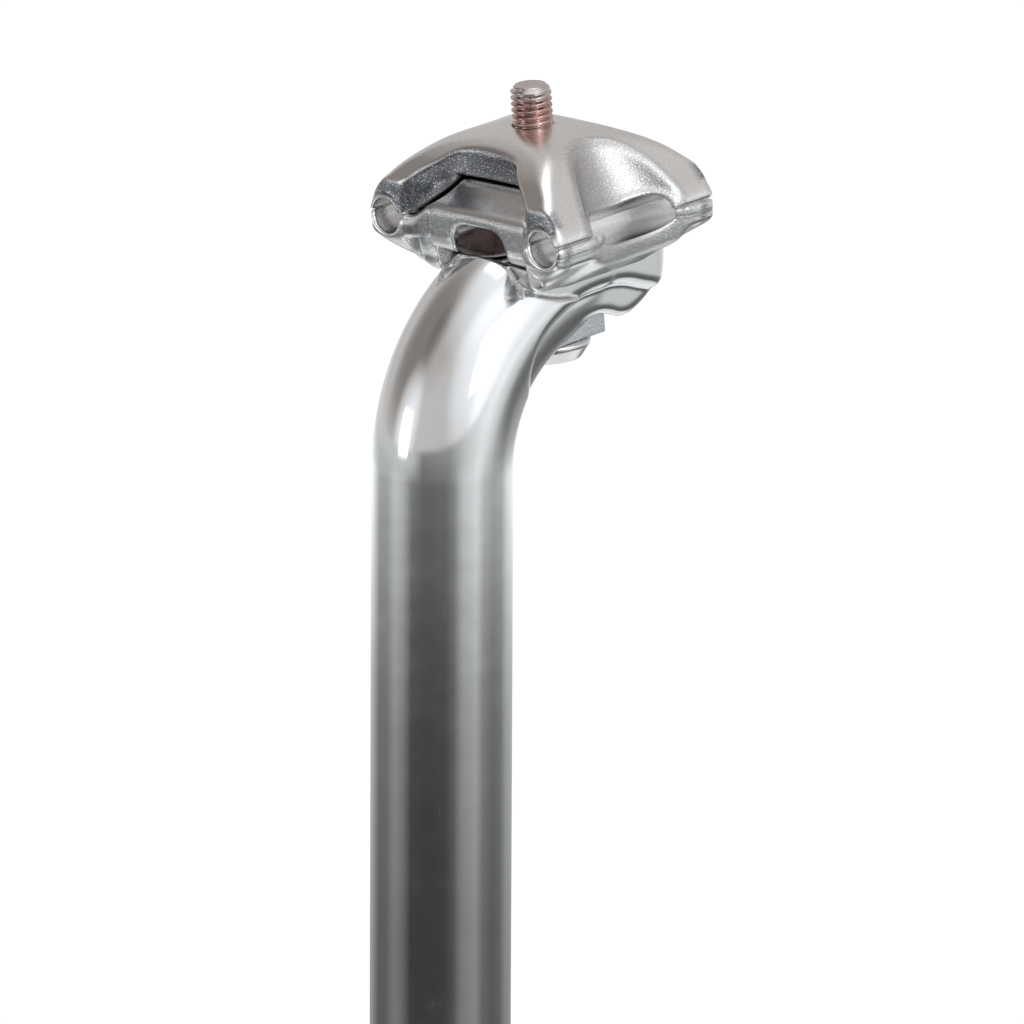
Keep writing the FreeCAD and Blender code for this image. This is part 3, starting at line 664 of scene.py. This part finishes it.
def upper_field(x, y, z):
    """The upper half, and how near each place is to a side scoop and to a notch or an arm's end face, for the
    satin and painted shade of the material.
    """
    section = in_polygon(rounded(upper_section(), UPPER_ROUNDING["section"]), x, z)
    solid = smooth_max(section, clamp_ends(y, ARM_SETBACK), UPPER_ROUNDING["ends"])
    side = roof(SIDE_ROOF, CLAMP_HALF, SIDE_EDGE, SIDE_FACE_HEIGHT)
    side_roof = in_polygon(side + mirrored(side), x, z)
    front = roof(END_ROOF, FRONT, END_EDGE, END_LIP)
    rear = roof(END_ROOF, REAR, END_EDGE, END_LIP)
    end_roof = in_polygon(rear + mirrored(front), y, z)
    roofs = smooth_max(side_roof, end_roof, UPPER_ROUNDING["ridges"])
    solid = smooth_max(solid, roofs, UPPER_ROUNDING["roof"])
    notches = notches_field(x, y, z)
    bays = upper_bay(x, y, z)
    solid = carve(solid, notches, UPPER_ROUNDING["notch"])
    solid = carve(solid, bays, UPPER_ROUNDING["scoop"])
    ring = smooth_max(channels(x, z) - RING_WALL, np.maximum(clamp_ends(y), UPPER_LIP - z),
                      UPPER_ROUNDING["ring face"])
    solid = smooth_min(solid, np.maximum(ring, -bays), UPPER_ROUNDING["ring"])
    solid = carve(solid, channels(x, z), UPPER_ROUNDING["channel"])
    solid = carve(solid, np.hypot(x, y) - UPPER_HOLE, UPPER_ROUNDING["hole"])
    return solid, bays, upper_marks(x, y, z, section, notches)


def upper_bay(x, y, z):
    """The cone that hollows the side of the upper half: it leans inward and narrows as it rises."""
    y = y - UPPER_SCOOP_CENTRE
    across = np.abs(x) - UPPER_SCOOP_WALL
    sine = math.sin(UPPER_SCOOP_LEAN)
    cosine = math.cos(UPPER_SCOOP_LEAN)
    along = z * cosine - across * sine
    aside = z * sine + across * cosine - UPPER_SCOOP_RADIUS
    radius = UPPER_SCOOP_RADIUS - along * math.tan(UPPER_SCOOP_TAPER)
    return (np.hypot(aside, y) - radius) * math.cos(UPPER_SCOOP_TAPER)


def make_half(name, node, field_of, low, high, material):
    """One half of the clamp as a smooth mesh, with its scoops and notches marked for the material's satin and
    painted shade.
    """
    xs = axis_steps(-CLAMP_HALF - CLAMP_MARGIN, CLAMP_HALF + CLAMP_MARGIN, CLAMP_STEP)
    ys = axis_steps(-FRONT - CLAMP_MARGIN, REAR + CLAMP_MARGIN, CLAMP_STEP)
    zs = axis_steps(low, high, CLAMP_STEP)
    field, *marks = field_of(*open_grid(xs, ys, zs))
    points, quads, normals = surface(field, xs, ys, zs)
    at = tuple(np.clip(np.searchsorted(steps, points[:, n]), 0, len(steps) - 1)
               for n, steps in enumerate((xs, ys, zs)))
    thing = piece(name, clamp_to_post(points), quads, "clamp", node, material, clamp_directions(normals))
    # Marks for satin and painted shade near the scoops and notches
    for label, tool in zip(("scoop", "notch"), marks):
        near = np.broadcast_to(tool, field.shape)[at]
        mark(thing, label, 1.0 - (np.abs(near) - MARK_CORE) / MARK_FADE)
    return thing


# The bolt and its curved washer
def bolt_head():
    """Points and quads of the bolt's head, with its hexagon socket."""
    reach = BOLT_HEAD + SMALL_MARGIN
    xs = axis_steps(-reach, reach, SMALL_STEP)
    zs = axis_steps(HEAD_FOOT - SMALL_MARGIN, WASHER_PLANE + SMALL_MARGIN, SMALL_STEP)
    x, y, z = open_grid(xs, xs, zs)
    right = [(BOLT_HEAD_FOOT, HEAD_FOOT), (BOLT_HEAD, WASHER_PLANE - BOLT_HEAD_RIM),
             (BOLT_HEAD, WASHER_PLANE)]
    head = in_polygon(rounded(right + mirrored(right), BOLT_HEAD_ROUNDING), np.hypot(x, y), z)
    turns = [math.radians(60 * n) for n in range(6)]
    hexagon = np.max([x * math.cos(t) + y * math.sin(t) for t in turns], axis=0) - SOCKET_HALF
    head = smooth_max(head, -np.maximum(hexagon, z - HEAD_FOOT - SOCKET_DEPTH), SOCKET_ROUNDING)
    points, quads, _ = surface(head, xs, xs, zs)
    return points, quads


def bolt_radius(z, turn):
    """Radius of the threaded shank: a rounded groove that climbs once round in each pitch."""
    phase = (z / THREAD_PITCH - turn / (2 * math.pi)) % 1.0
    groove = np.clip(1.0 - np.abs(2.0 * phase - 1.0) * GROOVE_SLOPE, 0.0, GROOVE_FLOOR) / GROOVE_FLOOR
    thread = BOLT_RADIUS - THREAD_DEPTH * groove
    point = BOLT_TOP - z + BOLT_RADIUS - BOLT_CHAMFER
    return np.minimum(thread, point)


def bolt_shank():
    """Points and quads of the threaded shank: rings of points, an inner ring and a middle point on top."""
    columns = THREAD_COLUMNS
    rows = axis_steps(WASHER_PLANE - SHANK_OVERLAP, BOLT_TOP, THREAD_STEP)
    turn = np.arange(columns) * 2 * math.pi / columns
    grid_z, grid_turn = np.meshgrid(rows, turn, indexing="ij")
    radius = bolt_radius(grid_z, grid_turn)
    shank = np.stack([radius * np.cos(grid_turn), radius * np.sin(grid_turn), grid_z], 2).reshape(-1, 3)
    inner = BOLT_END_SHARE * radius[-1]
    inner = np.stack([inner * np.cos(turn), inner * np.sin(turn),
                      np.full(columns, BOLT_TOP - BOLT_END_EDGE)], 1)
    middle = np.array([[0.0, 0.0, BOLT_TOP - BOLT_END_MIDDLE]])
    around = np.arange(columns)
    ring = np.stack([around, np.roll(around, -1)], 1)
    quads = []
    for k in range(len(rows)):
        low = ring + k * columns
        quads.append(np.stack([low[:, 0], low[:, 1], low[:, 1] + columns, low[:, 0] + columns], 1))
    first = len(rows) * columns
    pairs = ring[::2]
    quads.append(np.stack([pairs[:, 0] + first, pairs[:, 1] + first, (pairs[:, 1] + 1) % columns + first,
                           np.full(len(pairs), first + columns)], 1))
    return np.concatenate([shank, inner, middle]), np.concatenate(quads)


def make_bolt(material):
    """Head from a field, shank with a helical thread, in one mesh."""
    head, head_quads = bolt_head()
    shank, shank_quads = bolt_shank()
    points = np.concatenate([head, shank])
    quads = np.concatenate([head_quads, shank_quads + len(head)])
    thing = piece("threaded_bolt", clamp_to_post(points), quads, "clamp", "clamp_bolt", material)
    middle, spread = BOLT_COPPER_SPOTS
    height = points[:, 2]
    grooves = (BOLT_RADIUS - np.hypot(points[:, 0], points[:, 1])) / THREAD_DEPTH
    # Painted shade in the thread's grooves
    mark(thing, "scoop", np.where(height > WASHER_PLANE, grooves, 0.0))
    # Copper-coloured spots over the shank inside the clamp, fullest just above its crown
    inside_clamp = np.where((height > SHANK_COPPER_SPOTS_FOOT) & (height < middle), SHANK_COPPER_SPOTS, 0.0)
    mark(thing, "notch", np.maximum(inside_clamp, BOLT_COPPER_SPOTS_PEAK - np.abs(height - middle) / spread))
    return thing


def make_washer(material):
    """The washer, flat below and curved above to the seat's radius."""
    half_width, half_length = WASHER_HALF
    xs = axis_steps(-half_width - SMALL_MARGIN, half_width + SMALL_MARGIN, WASHER_STEP)
    ys = axis_steps(-half_length - SMALL_MARGIN, half_length + SMALL_MARGIN, WASHER_STEP)
    zs = axis_steps(WASHER_PLANE - WASHER_FOOT_MARGIN, WASHER_PLANE + WASHER_GRID_HEIGHT, WASHER_STEP)
    x, y, z = open_grid(xs, ys, zs)
    right = [(half_width, -half_length), (half_width, half_length)]
    plan = in_polygon(rounded(right + mirrored(right), WASHER_ROUNDING["corners"]), x, y)
    solid = smooth_max(plan, WASHER_PLANE - z, WASHER_ROUNDING["foot"])
    solid = smooth_max(solid, -(np.hypot(y, z - PIVOT) - SEAT_RADIUS - SEAT_GAP), WASHER_ROUNDING["seat"])
    solid = carve(solid, np.hypot(x, y) - WASHER_HOLE, WASHER_ROUNDING["hole"])
    points, quads, normals = surface(solid, xs, ys, zs)
    return piece("knurled_washer", clamp_to_post(points), quads, "clamp", "curved_washer", material,
                 clamp_directions(normals))


# Materials
class Nodes:
    """Small helper that adds nodes and links them."""

    def __init__(self, tree):
        self.tree = tree

    def feed(self, socket, value):
        """Link an output to a socket, or set the socket to a value."""
        if isinstance(value, bpy.types.NodeSocket):
            self.tree.links.new(value, socket)
        else:
            socket.default_value = value

    def add(self, kind, inputs=(), **settings):
        node = self.tree.nodes.new(kind)
        for name, value in settings.items():
            setattr(node, name, value)
        for name, value in dict(inputs).items():
            self.feed(node.inputs[name], value)
        return node

    def noise(self, where, scale, detail, roughness):
        return self.add("ShaderNodeTexNoise", {"Vector": where, "Scale": scale, "Detail": detail,
                                               "Roughness": roughness}).outputs["Fac"]

    def ramp(self, value, span, result=(0.0, 1.0)):
        return self.add("ShaderNodeMapRange", {"Value": value, "From Min": span[0], "From Max": span[1],
                                               "To Min": result[0], "To Max": result[1]}).outputs["Result"]

    def maths(self, operation, a, b):
        node = self.add("ShaderNodeMath", operation=operation)
        self.feed(node.inputs[0], a)
        self.feed(node.inputs[1], b)
        return node.outputs["Value"]

    def scaled(self, color, strength):
        node = self.add("ShaderNodeVectorMath", {0: color}, operation="SCALE")
        self.feed(node.inputs["Scale"], strength)
        return node.outputs["Vector"]

    def mix(self, share, a, b):
        node = self.add("ShaderNodeMix", {"Factor": share}, data_type="RGBA")
        self.feed(node.inputs[6], a)
        self.feed(node.inputs[7], b)
        return node.outputs[2]


def opaque(color):
    """A colour with full opacity."""
    return (*color, 1.0)


# Noises of the metal: scale, detail and roughness of each
FINE_NOISE = (5200.0, 2.0, 0.5)
COARSE_NOISE = (3000.0, 2.0, 0.7)
BROAD_NOISE = (75.0, 2.0, 0.5)
STAIN_NOISE = (210.0, 4.0, 0.6)
SCRATCH_NOISE = (1900.0, 1.0, 0.4)
SCRATCH_STRETCH = (1.0, 1.0, 0.08)

# The part of each noise that is used, and what it does
FINE_SPAN = (0.3, 0.7)
BROAD_SPAN = (0.35, 0.65)
STAIN_SPAN = (0.35, 0.7)
STAIN_ROUGHNESS = (0.85, 1.2)
SCRATCH_SPAN = (0.76, 0.79)
SCRATCH_ROUGHNESS = 0.10
DOT_SPAN = (0.55, 0.66)
# Share of painted shade at a scoop, and in the bolt's thread grooves
SCOOP_SHADE = 0.4
BROAD_HEIGHT = 4.0
BUMP_DISTANCE = 0.00001


def metal(name, color, dull_color, roughness, grain, satin=0.0, satin_grain=0.0, painted_shade_and_spot_color=None,
          speckles=0.02):
    """Bare metal: a fine grain, soft waves from polishing, faint stains and a few hair scratches.

    Where a piece is marked as a scoop or notch, the metal is satin and sparkles with a coarser grain; its
    colour also turns in spots towards the shade colour, which paints shade in the hollows.
    """
    material = bpy.data.materials.new(name)
    material.use_nodes = True
    tree = material.node_tree
    nodes = Nodes(tree)
    where = nodes.add("ShaderNodeTexCoord").outputs["Object"]
    scoop = nodes.add("ShaderNodeAttribute", attribute_name="scoop").outputs["Fac"]
    notch = nodes.add("ShaderNodeAttribute", attribute_name="notch").outputs["Fac"]
    hollow = nodes.maths("MAXIMUM", scoop, notch)
    fine = nodes.noise(where, *FINE_NOISE)
    coarse = nodes.noise(where, *COARSE_NOISE)
    broad = nodes.noise(where, *BROAD_NOISE)
    stains = nodes.noise(where, *STAIN_NOISE)
    stretched = nodes.add("ShaderNodeMapping", {"Vector": where, "Scale": SCRATCH_STRETCH})
    scratch = nodes.noise(stretched.outputs["Vector"], *SCRATCH_NOISE)
    scratch = nodes.ramp(scratch, SCRATCH_SPAN)

    rough = nodes.ramp(stains, STAIN_SPAN, [roughness * share for share in STAIN_ROUGHNESS])
    rough = nodes.maths("ADD", rough, nodes.maths("MULTIPLY", hollow, satin))
    rough = nodes.maths("ADD", rough, nodes.maths("MULTIPLY", scratch, SCRATCH_ROUGHNESS))

    tint = nodes.mix(nodes.ramp(broad, BROAD_SPAN), opaque(color), opaque(dull_color))
    # Painted shade: marked places are darkened in spots towards the shade colour, fully at a notch and partly
    # at a scoop; on the bolt the notch mark gives copper-coloured spots instead
    if painted_shade_and_spot_color:
        dots = nodes.mix(nodes.ramp(coarse, DOT_SPAN), opaque(painted_shade_and_spot_color), tint)
        shade = nodes.maths("MAXIMUM", notch, nodes.maths("MULTIPLY", scoop, SCOOP_SHADE))
        tint = nodes.mix(shade, tint, dots)
    speckled = nodes.scaled(tint, nodes.ramp(fine, FINE_SPAN, (1.0 - speckles, 1.0 + speckles)))

    height = nodes.maths("MULTIPLY", fine, grain)
    coarse_height = nodes.maths("MULTIPLY", coarse, nodes.maths("MULTIPLY", hollow, satin_grain))
    height = nodes.maths("ADD", height, coarse_height)
    height = nodes.maths("ADD", height, nodes.maths("MULTIPLY", broad, BROAD_HEIGHT))
    bump = nodes.add("ShaderNodeBump", {"Height": height, "Strength": 1.0, "Distance": BUMP_DISTANCE})

    shader = tree.nodes["Principled BSDF"]
    shader.inputs["Metallic"].default_value = 1.0
    tree.links.new(speckled, shader.inputs["Base Color"])
    tree.links.new(rough, shader.inputs["Roughness"])
    tree.links.new(bump.outputs["Normal"], shader.inputs["Normal"])
    return material


# The photo's camera: angles in radians, lengths in metres, and the pixel where the clamp's centre is
CAMERA_TURN = math.radians(45.7)
CAMERA_RISE = math.radians(13.2)
CAMERA_ROLL = math.radians(0.28)
CAMERA_DISTANCE = 3.0
CAMERA_SENSOR = 36.0
CAMERA_CLIP = 50.0
PIXELS = 1024
PIXELS_PER_MM = 5.219
RAIL_CENTRE_PIXEL = (539.0, 206.5)

# Light of the room as the metal sees it. Turns are degrees to the right of the camera
STUDIO_LEVEL = 0.56
STUDIO_SIDES = [
    {"turn": 35, "rise": 30, "spread": 28, "change": 0.42},
    {"turn": 60, "rise": 4, "spread": 20, "change": 0.40},
    {"turn": -70, "rise": 10, "spread": 16, "change": 0.40},
    {"turn": 20, "rise": 74, "spread": 28, "change": 0.38},
    {"turn": -100, "rise": 35, "spread": 26, "change": -0.34},
    {"turn": -50, "rise": 50, "spread": 20, "change": -0.12},
    {"turn": 170, "rise": 30, "spread": 40, "change": -0.06},
]
FULL_WITHIN = 0.3
GONE_BEYOND = 1.6
WARM = (1.09, 1.0, 0.94)
COOL = (0.97, 1.0, 1.03)
WARM_TO_COOL = (0.2, 0.9)

# The lamps' distance, the floor, and the painted room that the floor glows with in reflections: tones by turn
# in degrees and by metres
FLOOR_HALF = 30.0
FLOOR_COLOR = (0.86, 0.86, 0.86)
FLOOR_ROUGHNESS = 0.9
FLOOR_WHITE = 1.08
FLOOR_WHITE_SHARE = 0.9
LAMP_DISTANCE = 1.4
REFLECTION_TINT = (0.97, 0.99, 1.0)
WHITE = (1.0, 1.0, 1.0)
ROOM_REACH = 3.0
ROOM_AROUND = [(-180, 0.56), (-150, 0.50), (-136, 0.34), (-121, 0.18), (-100, 0.18), (-81, 0.30),
               (-66, 0.23), (-50, 0.07), (-20, 0.062), (6, 0.070), (20, 0.12), (34, 0.30), (58, 0.40),
               (72, 0.22), (92, 0.16), (112, 0.20), (131, 0.40), (180, 0.56)]
ROOM_OUTWARD = [(0.0, 0.25), (0.6, 0.33), (0.87, 0.5), (1.04, 0.90), (1.12, 1.0), (1.3, 0.6), (2.0, 0.2),
                (3.0, 0.1)]
ROOM_PEAK = 2.0
FAR_OUTWARD = [(0.0, 0.0), (0.94, 0.0), (1.06, 0.08), (1.3, 0.5), (2.0, 0.8), (3.0, 1.0)]
FAR_AROUND = [(-180, 0.6), (-90, 0.55), (-50, 0.55), (-32, 0.2), (10, 0.28), (30, 0.5), (50, 0.7),
              (70, 1.0), (100, 0.8), (125, 0.5), (180, 0.6)]
TABLE_OUTWARD = [(0.0, 0.8), (0.34, 0.75), (0.48, 0.0)]
TABLE_AROUND = [(-180, 0.75), (-100, 0.75), (-60, 1.0), (5, 1.0), (20, 0.12), (68, 0.10), (84, 0.9),
                (130, 0.95), (180, 0.75)]


# Studio
def clamp_centre():
    """The clamp's centre in metres."""
    return Vector((0.0, RAIL_CENTRE[0], RAIL_CENTRE[1])) * MM


def direction(turn, rise):
    """Direction from the object, by its turn from the front and its rise, in radians."""
    return (math.sin(turn) * math.cos(rise), -math.cos(turn) * math.cos(rise), math.sin(rise))


def turn_towards(turn, rise=0.0):
    """Direction from the object, by its turn to the right of the camera and its rise, in degrees."""
    return direction(CAMERA_TURN + math.radians(turn), math.radians(rise))


def make_camera():
    """The photo's camera: its turn, rise and roll, and the scale and place of the clamp in the picture."""
    back = Vector(direction(CAMERA_TURN, CAMERA_RISE))
    level = Vector((math.cos(CAMERA_TURN), math.sin(CAMERA_TURN), 0.0))
    up = back.cross(level)
    right = level * math.cos(CAMERA_ROLL) + up * math.sin(CAMERA_ROLL)
    up = back.cross(right)
    data = bpy.data.cameras.new("camera")
    data.sensor_width = CAMERA_SENSOR
    data.lens = PIXELS_PER_MM / MM * CAMERA_DISTANCE / PIXELS * data.sensor_width
    data.clip_end = CAMERA_CLIP
    camera = bpy.data.objects.new("camera", data)
    bpy.context.scene.collection.objects.link(camera)
    across = (RAIL_CENTRE_PIXEL[0] - PIXELS / 2) / PIXELS_PER_MM * MM
    down = (RAIL_CENTRE_PIXEL[1] - PIXELS / 2) / PIXELS_PER_MM * MM
    matrix = Matrix((right, up, back)).transposed().to_4x4()
    matrix.translation = clamp_centre() - right * across + up * down + back * CAMERA_DISTANCE
    camera.matrix_world = matrix
    bpy.context.scene.camera = camera


def make_world():
    """White to the camera; to the metal a pale studio with brighter and darker sides."""
    world = bpy.data.worlds.new("studio")
    bpy.context.scene.world = world
    world.use_nodes = True
    tree = world.node_tree
    nodes = Nodes(tree)
    looking = nodes.add("ShaderNodeTexCoord").outputs["Generated"]
    light = STUDIO_LEVEL
    for side in STUDIO_SIDES:
        towards = turn_towards(side["turn"], side["rise"])
        facing = nodes.add("ShaderNodeVectorMath", {0: looking, 1: towards}, operation="DOT_PRODUCT")
        near = math.cos(math.radians(side["spread"] * FULL_WITHIN))
        far = math.cos(math.radians(side["spread"] * GONE_BEYOND))
        share = nodes.add("ShaderNodeMapRange", {"Value": facing.outputs["Value"], "From Min": far,
                                                 "From Max": near, "To Min": 0.0, "To Max": side["change"]},
                          interpolation_type="SMOOTHSTEP").outputs["Result"]
        light = nodes.maths("ADD", share, light)
    tint = nodes.mix(nodes.ramp(light, WARM_TO_COOL), opaque(WARM), opaque(COOL))
    color = nodes.scaled(tint, light)
    camera_ray = nodes.add("ShaderNodeLightPath").outputs["Is Camera Ray"]
    shown = nodes.mix(camera_ray, color, opaque(WHITE))
    tree.links.new(shown, tree.nodes["Background"].inputs["Color"])


def tones(nodes, share, line):
    """A grey tone that follows a line of places and tones."""
    node = nodes.add("ShaderNodeValToRGB", {"Fac": share})
    elements = node.color_ramp.elements
    while len(elements) > 1:
        elements.remove(elements[-1])
    elements[0].position = line[0][0]
    elements[0].color = opaque((line[0][1],) * 3)
    for place, tone in line[1:]:
        elements.new(place).color = opaque((tone,) * 3)
    return node.outputs["Color"]


def painted_room_tone(nodes):
    """Glow of the floor in reflections, a painted room: a white table, and a room that gets darker and paler
    round it.
    """
    where = nodes.add("ShaderNodeNewGeometry").outputs["Position"]
    ahead = nodes.add("ShaderNodeVectorMath", {0: where, 1: turn_towards(0.0)}, operation="DOT_PRODUCT")
    aside = nodes.add("ShaderNodeVectorMath", {0: where, 1: turn_towards(90.0)}, operation="DOT_PRODUCT")
    turn = nodes.maths("ARCTAN2", aside.outputs["Value"], ahead.outputs["Value"])
    turn = nodes.ramp(turn, (-math.pi, math.pi))
    distance = nodes.add("ShaderNodeVectorMath", {0: where}, operation="LENGTH").outputs["Value"]
    distance = nodes.ramp(distance, (0.0, ROOM_REACH))
    around, beyond, table = (tones(nodes, turn, [((degrees + 180) / 360, tone) for degrees, tone in line])
                             for line in (ROOM_AROUND, FAR_AROUND, TABLE_AROUND))
    outward, far, white = (tones(nodes, distance, [(metres / ROOM_REACH, tone) for metres, tone in line])
                           for line in (ROOM_OUTWARD, FAR_OUTWARD, TABLE_OUTWARD))
    room = nodes.maths("MULTIPLY", nodes.maths("MULTIPLY", around, outward), ROOM_PEAK)
    room = nodes.maths("ADD", room, nodes.maths("MULTIPLY", beyond, far))
    return nodes.maths("ADD", room, nodes.maths("MULTIPLY", table, white))


def make_floor():
    """A pale floor: white to the camera, and to the metal a glow with a painted room, a white table with a
    darker room beyond.
    """
    mesh = bpy.data.meshes.new("floor")
    corners = [(-1, -1), (1, -1), (1, 1), (-1, 1)]
    mesh.from_pydata([(FLOOR_HALF * x, FLOOR_HALF * y, 0) for x, y in corners], [], [(0, 1, 2, 3)])
    floor = bpy.data.objects.new("floor", mesh)
    bpy.context.scene.collection.objects.link(floor)
    material = bpy.data.materials.new("pale_floor")
    material.use_nodes = True
    tree = material.node_tree
    nodes = Nodes(tree)
    diffuse = tree.nodes["Principled BSDF"]
    diffuse.inputs["Base Color"].default_value = opaque(FLOOR_COLOR)
    diffuse.inputs["Roughness"].default_value = FLOOR_ROUGHNESS
    room = painted_room_tone(nodes)
    # Painted reflection: to glossy rays the floor glows with the painted room
    painted_room_glow = nodes.add("ShaderNodeEmission", {"Color": opaque(REFLECTION_TINT), "Strength": room})
    shown = nodes.add("ShaderNodeEmission", {"Color": opaque(WHITE), "Strength": FLOOR_WHITE})
    path = nodes.add("ShaderNodeLightPath")
    surface_input = tree.nodes["Material Output"].inputs["Surface"]
    glows = (("Is Camera Ray", FLOOR_WHITE_SHARE, shown), ("Is Glossy Ray", 1.0, painted_room_glow))
    for ray, share, glow in glows:
        last = surface_input.links[0].from_socket
        mix = nodes.add("ShaderNodeMixShader", {0: nodes.maths("MULTIPLY", path.outputs[ray], share)})
        tree.links.new(last, mix.inputs[1])
        tree.links.new(glow.outputs["Emission"], mix.inputs[2])
        tree.links.new(mix.outputs["Shader"], surface_input)
    mesh.materials.append(material)


def make_lamp(name, place, size, energy):
    """A soft square lamp that looks at the head."""
    data = bpy.data.lights.new(name, "AREA")
    data.size = size
    data.energy = energy
    lamp = bpy.data.objects.new(name, data)
    bpy.context.scene.collection.objects.link(lamp)
    lamp.location = Vector(place)
    lamp.rotation_euler = (lamp.location - clamp_centre()).to_track_quat("Z", "Y").to_euler()


aluminium = metal("polished_aluminium", color=(0.88, 0.885, 0.89), dull_color=(0.84, 0.845, 0.85),
                  roughness=0.10, grain=0.3)
# On the upper half the shade colour is near black: painted shade in the notches and on the arms' end faces,
# and partly in the side scoops
tumbled = metal("tumbled_aluminium", color=(0.90, 0.89, 0.88), dull_color=(0.86, 0.84, 0.83),
                roughness=0.13, grain=3.5, satin=0.05, satin_grain=9.0,
                painted_shade_and_spot_color=(0.22, 0.23, 0.25), speckles=0.13)
# On the lower half the shade colour is mid grey: painted shade on the sloped ends and feet, and partly in the
# side bays
satin = metal("satin_aluminium", color=(0.89, 0.89, 0.89), dull_color=(0.85, 0.85, 0.85),
              roughness=0.14, grain=4.0, satin=0.04, satin_grain=12.0,
              painted_shade_and_spot_color=(0.46, 0.47, 0.48), speckles=0.14)
# On the bolt the shade colour is copper: painted shade in the thread's grooves and copper-coloured spots on
# the shank
steel = metal("machined_steel", color=(0.84, 0.83, 0.83), dull_color=(0.74, 0.72, 0.72),
              roughness=0.07, grain=0.4, painted_shade_and_spot_color=(0.56, 0.36, 0.32))
zinc = metal("zinc_plate", color=(0.82, 0.86, 0.90), dull_color=(0.68, 0.72, 0.77),
             roughness=0.25, grain=12.0, speckles=0.35)

make_post(aluminium)
make_half("lower_half_forging", "lower_rail_clamp", lower_field, SKIRT_FOOT - CLAMP_MARGIN,
          BLOCK_TOP + CLAMP_MARGIN, satin)
make_half("upper_half_forging", "upper_rail_clamp", upper_field, UPPER_LIP - UPPER_FOOT_MARGIN,
          CROWN + CROWN_MARGIN, tumbled)
make_bolt(steel)
make_washer(zinc)

make_camera()
make_world()
make_floor()
make_lamp("right_softbox", place=Vector(turn_towards(38.0, 34.0)) * LAMP_DISTANCE, size=0.5, energy=1.6)
make_lamp("left_softbox", place=Vector(turn_towards(-68.0, 16.0)) * LAMP_DISTANCE, size=0.4, energy=0.9)
make_lamp("top_softbox", place=(0.0, 0.1, 1.5), size=0.6, energy=1.6)
bpy.context.scene.view_settings.view_transform = "Standard"
